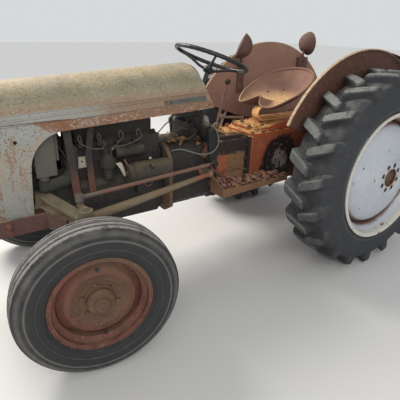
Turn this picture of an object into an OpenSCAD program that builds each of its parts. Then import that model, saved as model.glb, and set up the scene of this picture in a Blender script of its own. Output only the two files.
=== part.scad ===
// Vintage utility tractor: two-wheel drive, four-cylinder engine, tilting hood, three-point linkage.
// All modules are drawn from the rear axle: +X forward, +Y to the driver's left, +Z up, ground at Z = 0.
// placed() then moves the whole machine so that its box is centred over the origin.

/* [Stance] */
// Distance between the front and rear axle lines
wheelbase = 1778; // [1700:1:1860]
// Steering angle of both front wheels as parked, negative to the right
steer_rest = -7; // [-15:1:15]

/* [Rear wheels] */
// Radius of a rear tyre over its lugs
rear_r = 610; // [600:1:625]
// Distance from the centreline to the middle of a rear tyre
rear_y = 612; // [600:1:630]
// Section width of a rear tyre
rear_w = 280; // [260:1:290]
// Radius of the rear rim at its flange
rear_rim_r = 376; // [370:1:382]
// Height of a tread lug above the tread
lug_h = 38; // [28:1:44]
// Number of lugs on each side of a rear tyre
lug_count = 19; // [16:1:24]
// Radius of the circle of a rear wheel's bolt holes
nut_circle_r = 101.6; // [96:0.1:108]

/* [Front wheels] */
// Radius of a front tyre
front_r = 355; // [345:1:360]
// Section width of a front tyre
front_w = 158; // [140:1:164]
// Radius of the front rim at its flange
front_rim_r = 222; // [216:1:228]
// Distance from the centreline to a kingpin
kingpin_y = 500; // [490:1:505]
// Distance from a kingpin outward to the middle of its tyre
kingpin_offset = 122; // [118:1:130]

/* [Steering] */
// Radius of the steering wheel at the middle of its rim
steering_r = 214; // [190:1:220]
// Radius of the steering wheel rim's round section
steering_rim_r = 12; // [8:1:14]
// Angle of the steering wheel from level
steering_tilt = 20.6; // [15:0.1:25]
// Length of a steering arm from kingpin to ball
steer_arm = 125; // [100:1:135]
// Length of a drop arm from its shaft to its ball
drop_arm = 160; // [150:1:175]

/* [Hood] */
// Radius of the hood's arched top
hood_r = 188; // [180:1:195]
// Half of the hood's width at its sides
hood_half = 218; // [212:1:224]
// Thickness of the hood's sheet
hood_t = 3; // [2:0.5:4]
// Fall of the hood towards the front
hood_fall = 3.2; // [2:0.1:4]
// Distance of the nose in front of the front axle line
nose_reach = 362; // [352:1:372]
// Number of slats in the grille
slat_count = 15; // [9:1:18]

/* [Fenders] */
// Radius of a fender's rim
fender_r = 728; // [715:1:740]
// Distance from the centreline to a fender's inner panel
fender_y = 440; // [430:1:446]
// Width of a fender's crown at the rear
crown_w = 190; // [150:1:230]

/* [Linkage] */
// Distance behind the rear axle of the lower links' end balls
link_reach = 749; // [700:1:780]
// Radius of the power take-off shaft
pto_r = 14.3; // [12:0.1:18]
// Radius of the hole in a lower link's end ball
link_bore_r = 11.2; // [9:0.1:14]

/* [Hidden] */
$fn = 64;
running = 0.05;
seat_gap = 0.3;

bumper_x = wheelbase + 484;
nose_x = wheelbase + nose_reach;
link_eye_r = 32;
fender_x = -60;
fender_z = 595;
x_mid = (bumper_x - max(link_reach + link_eye_r, fender_r - fender_x)) / 2;

joint_x = 594;
bell_x = 877;
engine_x = wheelbase - 573;
block_l = 485;
timing_l = block_l + 45;
timing_front = engine_x + timing_l;
fan_z = 862;
deck_z = 790;
floor_z = 425;
housing_y = 150;
clutch_y = 148;

kingpin_r = 17;
sleeve_r = 30;
sleeve_low = 560;
sleeve_top = 678;
ball_z = 715;
ball_r = 16;
axle_x = wheelbase + 92;
axle_top = 670;
axle_h = 64;
pivot_z = axle_top - axle_h / 2;

arm_shaft_x = 935;
arm_shaft_z = 862;
arm_shaft_r = 17;
arm_y = 205;
arm_t = 22;

column_x = 807;
column_z = 1248;
hinge_x = wheelbase + 252;
hinge_z = 612;
hinge_r = 12;
hinge_y = 213;

arch_z = 1049;
hood_back = 925;
hood_lean = 75;
skirt = 33;

brake_r = 178;
brake_in = 692;
brake_out = 764;
trumpet_r = 66;

link_pivot_x = 30;
link_pivot_z = 400;
link_pivot_y = 215;
link_end_y = 335;
link_end_z = 440;
lift_x = -110;
lift_z = 810;
lift_arm = 220;
lift_rest = 15;
nut_count = 8;
rod_at = 0.47;

bulge_r = 175;
cover_x = 325;
cover_z = 613;
pto_z = 520;
pto_l = 75;
pto_bury = 112;
lift_top = 850;
lift_shaft_r = 20;
link_pin_r = 14;
axle_r = 33;
stub_r = 18;
lever_x = 754;
block_top = 800;
head_top = 885;
sump_z = 430;
crank_z = 620;
pulley_r = 72;
pipe_z = 470;
spark_x = 336;
spark_y = 165;
plug_x = 173;
plug_pitch = 96;
plug_tip = [166, 904];
starter_y = 191;
starter_z = 714;
rad_depth = 80;
support_top = 760;
rad_x0 = timing_front + 65;
rad_x1 = rad_x0 + rad_depth;
neck_x = rad_x0 + 50;
hose_y = 142;
neck_low = 740;
hose_r = 30;
lead_r = 3.5;
cable_r = 4;
cable_y = arm_y + arm_t + 10;
lead_outer = 196;
lead_inner = 182;
bead_h = 42;
bead_y = sqrt(hood_r * hood_r - bead_h * bead_h);
bead_r = 5;
tank_r = 158;
tank_x0 = 1030;
tank_x1 = 1460;
tank_z = 1012;
pivot_r = 16;
axle_gap = 33;
arm_back = axle_x + 10;
bumper_low = 562;
bumper_top = 638;
dash_x = 968;
dash_z = 906;
column_r = 14;
seat_x = 262;
seat_z = 1052;
seat_tilt = 16;
seat_r = 232;
seat_t = 4;
seat_roll = 8;
bowl_depth = 96;
seat_notch = 0.34;
seat_droop = 46;
spring_x = 392;
seat_low = seat_z - (bowl_depth + seat_t) * cos(seat_tilt)
    - pow(seat_r * sin(seat_tilt), 2) / (4 * bowl_depth * cos(seat_tilt));
spring_r = (seat_low - seat_gap - lift_top) / 2;
spring_z = lift_top + spring_r;

steel = "dimgray";
rust = "sienna";
red_rust = "chocolate";
paint = "darkseagreen";
rubber = "#3a3f45";

function arc(cx, cy, r, from, to, n) =
    [for (i = [0:n]) let (a = from + (to - from) * i / n) [cx + r * cos(a), cy + r * sin(a)]];
function steered(p, s) =
    [wheelbase + (p.x - wheelbase) * cos(steer_rest) - (p.y - s * kingpin_y) * sin(steer_rest),
    s * kingpin_y + (p.x - wheelbase) * sin(steer_rest) + (p.y - s * kingpin_y) * cos(steer_rest),
    p.z];

// A point down the steering column's axis from the middle of the wheel
function down_column(d) =
    [column_x, 0, column_z] + d * [sin(steering_tilt), 0, -cos(steering_tilt)];

module placed() translate([-x_mid, 0, 0]) children();

module block(x0, x1, y0, y1, z0, z1) translate([x0, y0, z0]) cube([x1 - x0, y1 - y0, z1 - z0]);

module y_rod(x, z, y0, y1, r) translate([x, y0, z]) rotate([-90, 0, 0]) cylinder(r = r, h = y1 - y0);

module x_rod(x0, x1, y, z, r) translate([x0, y, z]) rotate([0, 90, 0]) cylinder(r = r, h = x1 - x0);

module bar(p, q, r1, r2) {
    d = q - p;
    length = norm(d);
    translate(p) rotate([0, acos(d.z / length), atan2(d.y, d.x)])
        cylinder(r1 = r1, r2 = r2, h = length);
}

module rod(p, q, r) {
    d = q - p;
    length = norm(d);
    translate(p) rotate([0, acos(d.z / length), atan2(d.y, d.x)]) cylinder(r = r, h = length);
}

// A bent round bar or pipe through a list of points, a little fuller at each bend
module bent(points, r) {
    for (i = [1:len(points) - 1]) rod(points[i - 1], points[i], r);
    for (i = [1:1:len(points) - 2]) translate(points[i]) sphere(r = r + 0.8);
}

// An outline of X and Z points made solid between two Y planes
module side_form(y0, y1) translate([0, y1, 0]) rotate([90, 0, 0]) linear_extrude(y1 - y0) children();

// An outline of Y and Z points made solid between two X planes
module cross_form(x0, x1) translate([x0, 0, 0]) rotate([90, 0, 90]) linear_extrude(x1 - x0) children();

// A tube swept through hand-picked points and smoothed between them; its route never runs along the side vector
function between(a, b, c, d, t) = 0.5 * ((2 * b) + (c - a) * t + (2 * a - 5 * b + 4 * c - d) * t * t
    + (3 * b - a - 3 * c + d) * t * t * t);
function smooth(q, n) = concat([for (i = [0:len(q) - 2], k = [0:n - 1])
    between(q[max(0, i - 1)], q[i], q[i + 1], q[min(len(q) - 1, i + 2)], k / n)], [q[len(q) - 1]]);
function heading(q, i) = let (d = q[min(len(q) - 1, i + 1)] - q[max(0, i - 1)]) d / norm(d);
function ring(p, along, r, sides, side) = let (u = cross(along, side), v = u / norm(u), w = cross(along, v))
    [for (k = [0:sides - 1]) p + r * (cos(360 * k / sides) * v + sin(360 * k / sides) * w)];
module tube(points, r, side = [0, 1, 0], sides = 8, n = 3) {
    q = smooth(points, n);
    last = len(q) - 1;
    polyhedron([for (i = [0:last]) each ring(q[i], heading(q, i), r, sides, side)], concat(
        [[for (k = [0:sides - 1]) k], [for (k = [sides - 1:-1:0]) last * sides + k]],
        [for (i = [0:last - 1], k = [0:sides - 1]) [i * sides + k, (i + 1) * sides + k,
            (i + 1) * sides + (k + 1) % sides, i * sides + (k + 1) % sides]]));
}

module pair() {
    children();
    mirror([0, 1, 0]) children();
}

module pair_2d() {
    children();
    mirror([1, 0]) children();
}

// s is +1 on the left and -1 on the right
module sided(s) {
    if (s > 0) children();
    else mirror([0, 1, 0]) children();
}

module steer_posed(s) translate([wheelbase, s * kingpin_y, 0]) rotate([0, 0, steer_rest])
    translate([-wheelbase, -s * kingpin_y, 0]) children();

module at_engine() translate([engine_x, 0, 0]) children();

// A casting's cross-section with rounded shoulders and a narrower keel
function casting(half, low, top, r, keel) = concat(arc(half - r, top - r, r, 0, 90, 8),
    arc(r - half, top - r, r, 90, 180, 8), [[-half, low + 45], [-keel, low], [keel, low], [half, low + 45]]);

// A ring about a wheel's axle, from an outline of radius and distance along the axle
module wheel_form(x, y, z) translate([x, y, z]) rotate([-90, 0, 0]) rotate_extrude($fn = 96) children();

// Rear driveline

module rear_housing() color(red_rust) placed() {
    difference() {
        union() {
            block(-60, joint_x, -housing_y, housing_y, floor_z + 35, deck_z);
            y_rod(-10, rear_r, -165, 165, bulge_r);
            block(-165, -60, -115, 115, 450, 760);
            block(joint_x - 22, joint_x, -165, 165, floor_z + 20, deck_z);
            cross_form(60, joint_x) polygon([[-110, floor_z + 36], [-70, floor_z], [70, floor_z],
                [110, floor_z + 36]]);
            pair() block(link_pivot_x - 32, link_pivot_x + 32, 112, 150, link_pivot_z - 22, 470);
        }
        x_rod(-200, -60, 0, pto_z, pto_r - 2 + running);
    }
    pair() y_rod(link_pivot_x, link_pivot_z, 149, link_pivot_y + 26, link_pin_r);
}

module side_covers() color("#2b2622") placed() pair() {
    y_rod(cover_x, cover_z, housing_y, housing_y + 12, 132);
    y_rod(cover_x, cover_z, housing_y + 12, housing_y + 20, 104);
    y_rod(cover_x, cover_z, housing_y + 20, housing_y + 34, 42);
}

module lift_cover() color("peru") placed() difference() {
    union() {
        side_form(-118, 118) polygon([[-60, deck_z], [560, deck_z], [560, 812], [430, 828],
            [300, lift_top], [-60, lift_top], [-110, lift_top], [-154, 822], [-154, 782], [-60, 782]]);
        block(-58, 575, -146, 146, deck_z, deck_z + 14);
        y_rod(lift_x, lift_z, -165, 165, 44);
        block(430, 560, -90, 90, 812, 834);
    }
    y_rod(lift_x, lift_z, -170, 170, lift_shaft_r + running);
}

module axle_housings() color(rust) placed() pair() {
    difference() {
        union() {
            y_rod(0, rear_r, 165, 185, 150);
            translate([0, 185, rear_r]) rotate([-90, 0, 0]) cylinder(r1 = 118, r2 = trumpet_r, h = 150);
            y_rod(0, rear_r, 330, brake_in - 11, trumpet_r);
            y_rod(0, rear_r, brake_in - 12, brake_in - 2, brake_r + 6);
        }
        y_rod(0, rear_r, 560, brake_in, axle_r + running);
    }
    difference() {
        block(-80, 80, fender_y - 63, fender_y - 3, rear_r, 745);
        y_rod(0, rear_r, fender_y - 70, fender_y, trumpet_r - 1);
        block(-58, 58, fender_y - 70, fender_y - 15, 690, 750);
    }
}

module pto_shaft() color(steel) placed() {
    x_rod(-60 - pto_bury - pto_l, -60 - pto_bury, 0, pto_z, pto_r);
    x_rod(-60 - pto_bury, -60, 0, pto_z, pto_r - 2);
}

// Gearbox, clutch housing and engine

module gearbox() color(red_rust) placed() {
    cross_form(joint_x, bell_x) polygon(casting(138, floor_z, 790, 16, 95));
    block(joint_x, joint_x + 20, -160, 160, 460, 798);
    block(bell_x - 22, bell_x, -160, 160, 455, 800);
    block(joint_x + 34, bell_x - 30, -112, 112, 790, 806);
    translate([lever_x, 0, 806]) cylinder(r1 = 62, r2 = 34, h = 20);
    cross_form(bell_x, engine_x - 190) polygon(casting(clutch_y, 440, 806, 60, 100));
    cross_form(engine_x - 190, engine_x - 22) polygon(casting(164, 440, 814, 75, 105));
    cross_form(engine_x - 22, engine_x) polygon(casting(198, 425, 824, 110, 130));
}

module engine_block() color("#4a4744") placed() at_engine() {
    block(0, block_l, -118, 118, 590, block_top);
    cross_form(0, block_l) polygon([[-140, 660], [-140, 560], [140, 560], [140, 660],
        [118, 690], [-118, 690]]);
    block(0, 14, -150, 150, 540, 815);
    side_form(-112, 112) polygon([[0, 560], [block_l, 560], [block_l, 470], [block_l - 130, 470],
        [block_l - 160, sump_z], [35, sump_z], [0, 470]]);
    for (i = [0:3]) pair() y_rod(60 + i * plug_pitch, 724, 117, 122, 24);
    for (i = [0:4]) pair() block(48 + i * plug_pitch, 60 + i * plug_pitch, 117, 124, 762, block_top);
    y_rod(145, 608, 139, 180, 42);
    cross_form(block_l, timing_l) polygon([[-70, 540], [70, 540], [105, 600], [105, 760],
        [60, 802], [-60, 802], [-105, 760], [-105, 600]]);
    x_rod(timing_l, timing_l + 48, 0, crank_z, pulley_r);
    x_rod(35, 85, 0, sump_z + 22, 20);
}

module cylinder_head() color("#4a4744") placed() at_engine() {
    block(20, block_l - 12, -115, 115, block_top, head_top);
    side_form(-70, 70) polygon([[43, head_top], [block_l - 22, head_top], [block_l - 22, head_top + 70],
        [block_l - 35, head_top + 87], [56, head_top + 87], [43, head_top + 70]]);
    translate([115, 0, head_top + 87]) cylinder(r = 27, h = 22);
    translate([115, 0, head_top + 105]) cylinder(r = 34, h = 10);
    block(35, block_l - 14, -82, 82, head_top, head_top + 8);
    x_rod(block_l - 12, timing_l - 6, 0, fan_z, 38);
    rod([block_l + 13, 0, fan_z], [block_l + 13, 36, fan_z + 26], 19);
    translate([block_l + 13, 44, fan_z + 22]) cylinder(r = 21, h = 22);
    y_rod(block_l + 20, fan_z, 20, hose_y - 36, 19);
}

module manifold() color(rust) placed() at_engine() {
    block(55, 455, -133, -115, head_top - 62, head_top - 12);
    x_rod(65, 445, -158, head_top - 36, 27);
    for (x = [95, 215, 295, 415]) y_rod(x, head_top - 36, -158, -115, 24);
    translate([255, -184, head_top - 190]) cylinder(r = 26, h = 150);
    translate([255, -184, head_top - 230]) cylinder(r = 40, h = 50);
    rod([255, -184, head_top - 150], [175, -184, head_top - 150], 24);
    bent([[71, -158, head_top - 36], [57, -172, head_top - 110], [57, -172, pipe_z + 70]], 23);
}

module exhaust_pipe() color(rust) placed() {
    bent([[engine_x + 57, -172, pipe_z + 69.7], [engine_x + 57, -172, pipe_z + 40],
        [engine_x + 57, -240, pipe_z], [560, -240, pipe_z]], 22);
    x_rod(650, 1000, -240, pipe_z, 36);
}

module ignition() color("#222222") placed() at_engine() {
    translate([spark_x, spark_y, 700]) cylinder(r = 24, h = 62);
    translate([spark_x, spark_y, 762]) cylinder(r = 40, h = 38);
    translate([spark_x, spark_y, 800]) cylinder(r1 = 36, r2 = 24, h = 26);
    for (a = [45:90:315]) translate(tower(a) - [0, 0, 34]) cylinder(r = 7, h = 34);
    translate([spark_x, spark_y, 820]) cylinder(r = 8, h = 34);
    y_rod(spark_x, 730, 122 + seat_gap, spark_y, 16);
    for (i = [0:3]) translate([plug_x + i * plug_pitch, 0, 0]) {
        rod([0, 122, head_top - 22], [0, 146, head_top - 4], 11);
        rod([0, 140, head_top - 8], [0, plug_tip.x, plug_tip.y], 6);
        translate([0, plug_tip.x, plug_tip.y]) sphere(r = 8);
    }
    x_rod(140, 290, 150, head_top - 62, 30);
    x_rod(134, 146, 150, head_top - 62, 25);
    block(190, 235, 115, 150, head_top - 84, head_top - 42);
}

// The top of a lead's tower on the distributor's cap, measured from the engine's rear face
function tower(a) = [spark_x + 20 * cos(a), spark_y + 20 * sin(a), 844];

// Four leads from the distributor's cap, each curled over its spark plug
module leads() color("#8b8b86") placed() at_engine() for (i = [0:3]) {
    outer = i == 0 || i == 3;
    layer = outer ? lead_outer : lead_inner;
    foot = tower([135, 225, 315, 45][i]) + [0, 0, seat_gap];
    tip = [plug_x + i * plug_pitch, plug_tip.x, plug_tip.y + 8 + seat_gap];
    s = sign(tip.x - foot.x);
    tube([foot, foot + [0, 0, 4], foot + [0, 0, 9], [foot.x + s * 12, layer, foot.z + 22],
        [(foot.x + tip.x) / 2 + s * 4, layer + 2, foot.z + 26], [tip.x - s * 14, layer + 2, tip.z - 26],
        [tip.x + s * 12, layer, tip.z - 10], [tip.x + s * 17, tip.y + 8, tip.z + 10],
        [tip.x + s * 8, tip.y + 1, tip.z + 24], [tip.x, tip.y, tip.z + 12],
        [tip.x, tip.y, tip.z + 4], tip], lead_r);
}

// The control cable from the clutch housing's flange round to the dash, outside the drop arm
module cable() color("#8b8b86") placed() {
    flange = engine_x - 22 - seat_gap;
    tube([[flange, 160, 785], [flange - 5, 160, 785], [flange - 14, 162, 788], [flange - 55, 190, 798], [flange - 100, 224, 786],
        [1029, cable_y, 768], [970, cable_y, 763], [926, cable_y, 781], [906, cable_y, 819],
        [914, cable_y, 862], [928, cable_y, 894], [936, 222, 912], [940, 190, 918], [946, 150, 922],
        [954, 126, 928], [dash_x - 6, 123, 928],
        [dash_x - 3, 123, 928], [dash_x - seat_gap, 123, 928]], cable_r, [1, 1, 1]);
}

module starter_motor() color("#77756f") placed() at_engine() {
    x_rod(0, 14, starter_y, starter_z, 40);
    x_rod(14, 210, starter_y, starter_z, 53);
    x_rod(210, 218, starter_y, starter_z, 55);
    x_rod(218, 246, starter_y, starter_z, 50);
    x_rod(246, 258, starter_y, starter_z, 16);
    rod([125, starter_y + 30, starter_z + 20], [125, starter_y + 60, starter_z + 48], 14);
}

module fan() color(steel) placed() {
    x_rod(timing_front - 5, timing_front + 12, 0, fan_z, 55);
    x_rod(timing_front + 12, timing_front + 40, 0, fan_z, 30);
    for (a = [0:90:270]) translate([timing_front + 22, 0, fan_z]) rotate([a, 0, 0]) rotate([0, 0, 24])
        block(-2, 2, -32, 32, 24, 165);
    cross_form(timing_front + 1, timing_front + 10) difference() {
        polygon(belt_outline(60, pulley_r + 6.3));
        polygon(belt_outline(54, pulley_r + 0.3));
    }
}

// The fan belt's line round the fan pulley above and the crank pulley below
function belt_outline(top_r, low_r) =
    concat(arc(0, fan_z, top_r, 4, 176, 24), arc(0, crank_z, low_r, 176, 364, 24));

module radiator() color("#6d7272") placed() {
    block(rad_x0 + 12, rad_x1 - 12, -165, 165, 815, 1050);
    cross_form(rad_x0, rad_x1) polygon(arc(0, 992, 168, 17, 163, 24));
    block(rad_x0, rad_x1, -170, 170, 765, 815);
    pair() block(rad_x0 - 5, rad_x1 + 8, 170, 180, 765, 1000);
    pair() block(rad_x0 + 12, rad_x1 - 12, 165, 170, 815, 1000);
    difference() {
        block(rad_x0 - 25, rad_x0 + 12, -160, 160, 830, 1045);
        x_rod(rad_x0 - 30, rad_x0 + 12, 0, 905, 100);
    }
    translate([(rad_x0 + rad_x1) / 2, 0, 1155]) cylinder(r = 32, h = 16);
    pair() block(rad_x0 + 10, rad_x1 - 10, 60, 100, support_top, 765);
    x_rod(rad_x0 - 22, rad_x0 + 5, 60, 1100, 21);
    translate([neck_x, hose_y, neck_low]) cylinder(r = 24, h = 27);
}

module hoses() color("#4a4f52") placed() {
    pump_x = engine_x + block_l + 13;
    bent([[pump_x, 44, fan_z + 44 + seat_gap], [pump_x, 44, 935], [pump_x + 3, 60, 1055],
        [pump_x + 32, 60, 1100], [rad_x0 - 22 - seat_gap, 60, 1100]], 22);
    bent([[pump_x + 7, hose_y - 36 + seat_gap, fan_z], [pump_x + 7, hose_y, fan_z],
        [pump_x + 13, hose_y, 760], [pump_x + 44, hose_y, 722], [neck_x, hose_y, 704], [neck_x, hose_y, neck_low - seat_gap]], hose_r);
}

module fuel_tank() color("#3c3c3a") placed() {
    difference() {
        union() {
            x_rod(tank_x0, tank_x1, 0, arch_z - 25, tank_r);
            x_rod(tank_x0 - 4, tank_x0 + 6, 0, arch_z - 25, tank_r + 4);
            x_rod(tank_x1 - 6, tank_x1 + 4, 0, arch_z - 25, tank_r + 4);
        }
        block(tank_x0 - 10, tank_x1 + 10, -200, 200, 700, tank_z);
    }
    translate([tank_x1 - 120, 0, arch_z + 125]) cylinder(r = 30, h = 26);
    translate([tank_x0 + 150, 70, tank_z - 38]) cylinder(r = 18, h = 40);
}

module braces() color(rust) placed() {
    stay_x = engine_x + 501;
    pair() {
        side_form(174, 182) polygon([[stay_x - 12, 640], [stay_x + 24, 640], [stay_x + 50, 1034],
            [stay_x + 14, 1034]]);
        y_rod(stay_x + 6, 655, 105 + seat_gap, 175, 8);
        block(tank_x1 - 30, stay_x + 30, tank_r + 4 + seat_gap, tank_r + 8, 1010, 1034);
        block(stay_x + 16, stay_x + 30, tank_r + 4 + seat_gap, 176, 1010, 1034);
    }
    side_form(143, 151) polygon([[stay_x - 98, 636], [stay_x - 66, 636], [stay_x - 60, 838],
        [stay_x - 92, 1030], [stay_x - 124, 1030], [stay_x - 92, 838]]);
    y_rod(stay_x - 82, 648, 140 + seat_gap, 144, 9);
    block(stay_x - 120, stay_x - 92, 151, tank_r + 5, 1006, 1030);
}

// Front axle, support and bumper

module front_support() color("#4b4a45") placed() {
    difference() {
        union() {
            block(rad_x0 - 10, axle_x + 90, -110, 110, 688, support_top);
            pair() block(timing_front, axle_x + 90, 84, 110, 596, support_top);
            block(axle_x - axle_gap - 35, axle_x - axle_gap - 1, -86, 86, 590, 690);
            block(axle_x + axle_gap + 1, axle_x + axle_gap + 35, -86, 86, 590, 690);
            pair() block(axle_x + 90, hinge_x + 18, 88, 108, hinge_z - 18, 690);
        }
        block(axle_x - axle_gap, axle_x + axle_gap, -200, 200, 580, 688);
    }
    x_rod(axle_x - 40, axle_x + 40, 0, pivot_z, pivot_r);
    y_rod(hinge_x, hinge_z, -hinge_y, hinge_y, hinge_r);
}

module front_axle() color("#77735e") placed() difference() {
    union() {
        block(axle_x - 29, axle_x + 29, -140, 140, axle_top - axle_h - 2, axle_top + 2);
        pair() axle_arm();
        pair() translate([wheelbase, kingpin_y, sleeve_low]) cylinder(r = sleeve_r,
            h = sleeve_top - sleeve_low);
    }
    x_rod(axle_x - 50, axle_x + 50, 0, pivot_z, pivot_r + running);
    pair() translate([wheelbase, kingpin_y, sleeve_low - 10]) cylinder(r = kingpin_r + running,
        h = 200);
}

// One swept arm of the front axle, an I-section bar
module axle_arm() {
    root = [axle_x - 6, 125];
    reach = [wheelbase, kingpin_y] - root;
    translate([root.x, root.y, axle_top - axle_h]) rotate([0, 0, atan2(reach.y, reach.x)])
        rotate([90, 0, 90]) linear_extrude(norm(reach) - kingpin_r - 8) polygon([[-27, 0], [27, 0],
            [27, 14], [9, 20], [9, axle_h - 20], [27, axle_h - 14], [27, axle_h], [-27, axle_h],
            [-27, axle_h - 14], [-9, axle_h - 20], [-9, 20], [-27, 14]]);
}

module radius_rods() color("#8a7a5e") placed() pair() {
    bar([960, 238, 640], [wheelbase - 36, 436, 636], 13, 23);
    translate([960, 238, 640]) sphere(r = 21);
    block(940, 962, clutch_y + seat_gap, 240, 622, 658);
    y_rod(950, 640, clutch_y + seat_gap, 160, 34);
}

module bumper() color("#5c4a46") placed() {
    pair() {
        block(arm_back, bumper_x - 10, 285, 297, bumper_low, bumper_top);
        side_bracket();
    }
    block(bumper_x - 10, bumper_x, -297, 297, bumper_low, bumper_top);
}

// The plate that carries a bumper arm from the axle, slanted back to meet it
module side_bracket() translate([arm_back, 0, bumper_low]) linear_extrude(bumper_top - bumper_low)
    polygon([[0, 285], [12, 285], [12, 297], [-42, 412], [-52, 405], [0, 296]]);

// Dash, steering and controls

module dash_panel() color("#4b4a45") placed() difference() {
    union() {
        cross_form(dash_x, dash_x + 14) polygon(concat([[-172, dash_z], [172, dash_z]],
            arc(0, arch_z, 174, -6, 186, 24)));
        x_rod(dash_x - 8, dash_x, -90, 1090, 42);
        x_rod(dash_x - 8, dash_x, 95, 1080, 30);
    }
    rod(down_column(450), down_column(240), 42);
}

module steering_box() color("#3a3836") placed() {
    difference() {
        union() {
            block(880, 1010, -112, 112, 815, 876);
            y_rod(arm_shaft_x, arm_shaft_z, -180, 180, 40);
            block(dash_x, dash_x + 40, -80, 80, 860, dash_z);
            rod(down_column(420), down_column(285), 38);
            rod(down_column(286), down_column(270), 24);
        }
        y_rod(arm_shaft_x, arm_shaft_z, -190, 190, arm_shaft_r + running);
        block(800, 1100, -200, 200, 700, 815);
        rod(down_column(340), down_column(260), column_r + running);
    }
}

module steering_wheel() color("#1d2022") placed() {
    translate([column_x, 0, column_z]) rotate([0, -steering_tilt, 0]) {
        rotate_extrude($fn = 96) translate([steering_r, 0]) circle(r = steering_rim_r, $fn = 24);
        translate([0, 0, -34]) cylinder(r = 30, h = 34);
        cylinder(r = 22, h = 14);
        for (a = [0:120:240]) rotate([0, 0, a + 60]) rod([20, 0, -12], [steering_r - 6, 0, 0], 7);
    }
    rod(down_column(339), down_column(0), column_r);
}

module levers() color(steel) placed() {
    rod([lever_x, 0, 846], [lever_x - 72, 0, 1110], 8);
    translate([lever_x, 0, 848.3]) sphere(r = 22);
    translate([lever_x - 73, 0, 1115]) sphere(r = 19);
    rod([690, -30, 892], [521, -30, 872], 8);
    translate([692, -30, 893]) sphere(r = 16);
    rod([521, -30, 834], [521, -30, 878], 12);
}

module pedals() color(rust) placed() pair() {
    y_rod(800, 560, 138, 190, 15);
    bent([[800, 181, 560], [905, 181, 640], [950, 181, 760]], 9);
    translate([951, 181, 762]) rotate([0, 60, 0]) translate([-42, -20, 0]) cube([84, 40, 8]);
}

// The pan's rim seen from above: rounder behind, with a notch between the two thigh lobes in front
function seat_edge(a) = seat_r * (1 - seat_notch * exp(-pow(a / 15, 2)) - 0.06 * pow(cos(a), 2));
function seat_point(a, s) = let (r = seat_edge(a) * s, front = max(0, cos(a)))
    [r * cos(a), r * sin(a), bowl_depth * (pow(r / seat_r, 2) - 1)
    - seat_droop * pow(front, 2) * (1 - exp(-pow(a / 24, 2))) * pow(s, 6)
    + 14 * pow(s, 8) * max(0, -cos(a))];
seat_rings = [0.12, 0.25, 0.38, 0.5, 0.62, 0.72, 0.81, 0.88, 0.93, 0.965, 0.985, 1];
seat_steps = 60;
function seat_bead(a) = 1 + (seat_roll - 1) * (1 - exp(-pow(a / 24, 2)));
function seat_sheet(fall) = [for (s = seat_rings, k = [0:seat_steps - 1])
    seat_point(k * 360 / seat_steps - 180, s) - [0, 0, seat_t * fall
    + (s < 0.9 ? 0 : seat_bead(k * 360 / seat_steps - 180) * (fall * (s - 0.9) * 10 - (0.5 - fall) * sin((s - 0.9) * 1800) / 2))]];
module seat() color(rust) placed() translate([seat_x, 0, seat_z]) rotate([0, seat_tilt, 0]) {
    n = seat_steps;
    all = len(seat_rings) * n;
    last = len(seat_rings) - 1;
    polyhedron(concat(seat_sheet(0), seat_sheet(1), [[0, 0, -bowl_depth], [0, 0, -bowl_depth - seat_t]]),
        concat([for (i = [0:last - 1], k = [0:n - 1]) each [[i * n + k, (i + 1) * n + k,
            (i + 1) * n + (k + 1) % n], [i * n + k, (i + 1) * n + (k + 1) % n, i * n + (k + 1) % n]]],
            [for (i = [0:last - 1], k = [0:n - 1]) each [[all + i * n + k, all + (i + 1) * n + (k + 1) % n,
            all + (i + 1) * n + k], [all + i * n + k, all + i * n + (k + 1) % n,
            all + (i + 1) * n + (k + 1) % n]]],
            [for (k = [0:n - 1]) each [[last * n + k, all + last * n + k, all + last * n + (k + 1) % n],
            [last * n + k, all + last * n + (k + 1) % n, last * n + (k + 1) % n]]],
            [for (k = [0:n - 1]) each [[2 * all, k, (k + 1) % n], [2 * all + 1, all + (k + 1) % n,
            all + k]]]));
}

module seat_spring() color("burlywood") placed() side_form(-32, 32) polygon(concat(
    [[170, lift_top]], arc(spring_x, spring_z, spring_r, -90, 90, 24), [[232, spring_z + spring_r],
    [232, spring_z + spring_r - 8]], arc(spring_x, spring_z, spring_r - 8, 90, -90, 24),
    [[170, lift_top + 8]]));

// Fenders, lamps and footrests

module fender_outline() polygon(concat([[590, 925], [250, 792], [70, 745], [-70, 745], [-787, 560]],
    [[-1000, 560], [-1000, 1500], [1000, 1500], [1000, 925]]));

module fenders() color("#7a5248") placed() pair() intersection() {
    union() {
        y_rod(fender_x, fender_z, fender_y - 3, fender_y, fender_r, $fn = 256);
        difference() {
            y_rod(fender_x, fender_z, fender_y - 3, fender_y + 14, fender_r, $fn = 256);
            y_rod(fender_x, fender_z, fender_y - 4, fender_y + 15, fender_r - 6, $fn = 256);
        }
        difference() {
            y_rod(fender_x, fender_z, fender_y - 3, fender_y + crown_w, fender_r, $fn = 256);
            y_rod(fender_x, fender_z, fender_y - 4, fender_y + crown_w + 1, fender_r - 3, $fn = 256);
            translate([0, 0, -200]) linear_extrude(2000) polygon([[900, fender_y + 14],
                [-250, fender_y + 14], [-600, fender_y + crown_w - 20], [-700, fender_y + crown_w],
                [-700, fender_y + crown_w + 50], [900, fender_y + crown_w + 50]]);
        }
    }
    side_form(fender_y - 10, fender_y + crown_w + 10) fender_outline();
}

// A bullet lamp that faces along +Z before it is turned: a domed glass, a rim and an egg-shaped shell
module lamp_shell() rotate_extrude($fn = 64) polygon(concat([[0, 10], [60, 6], [84, 0], [90, -2], [90, -8]],
    [for (i = [1:12]) [86 * sqrt(1 - pow(i / 12, 2)), -10 - 78 * pow(i / 12, 1.3)]]));

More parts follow.
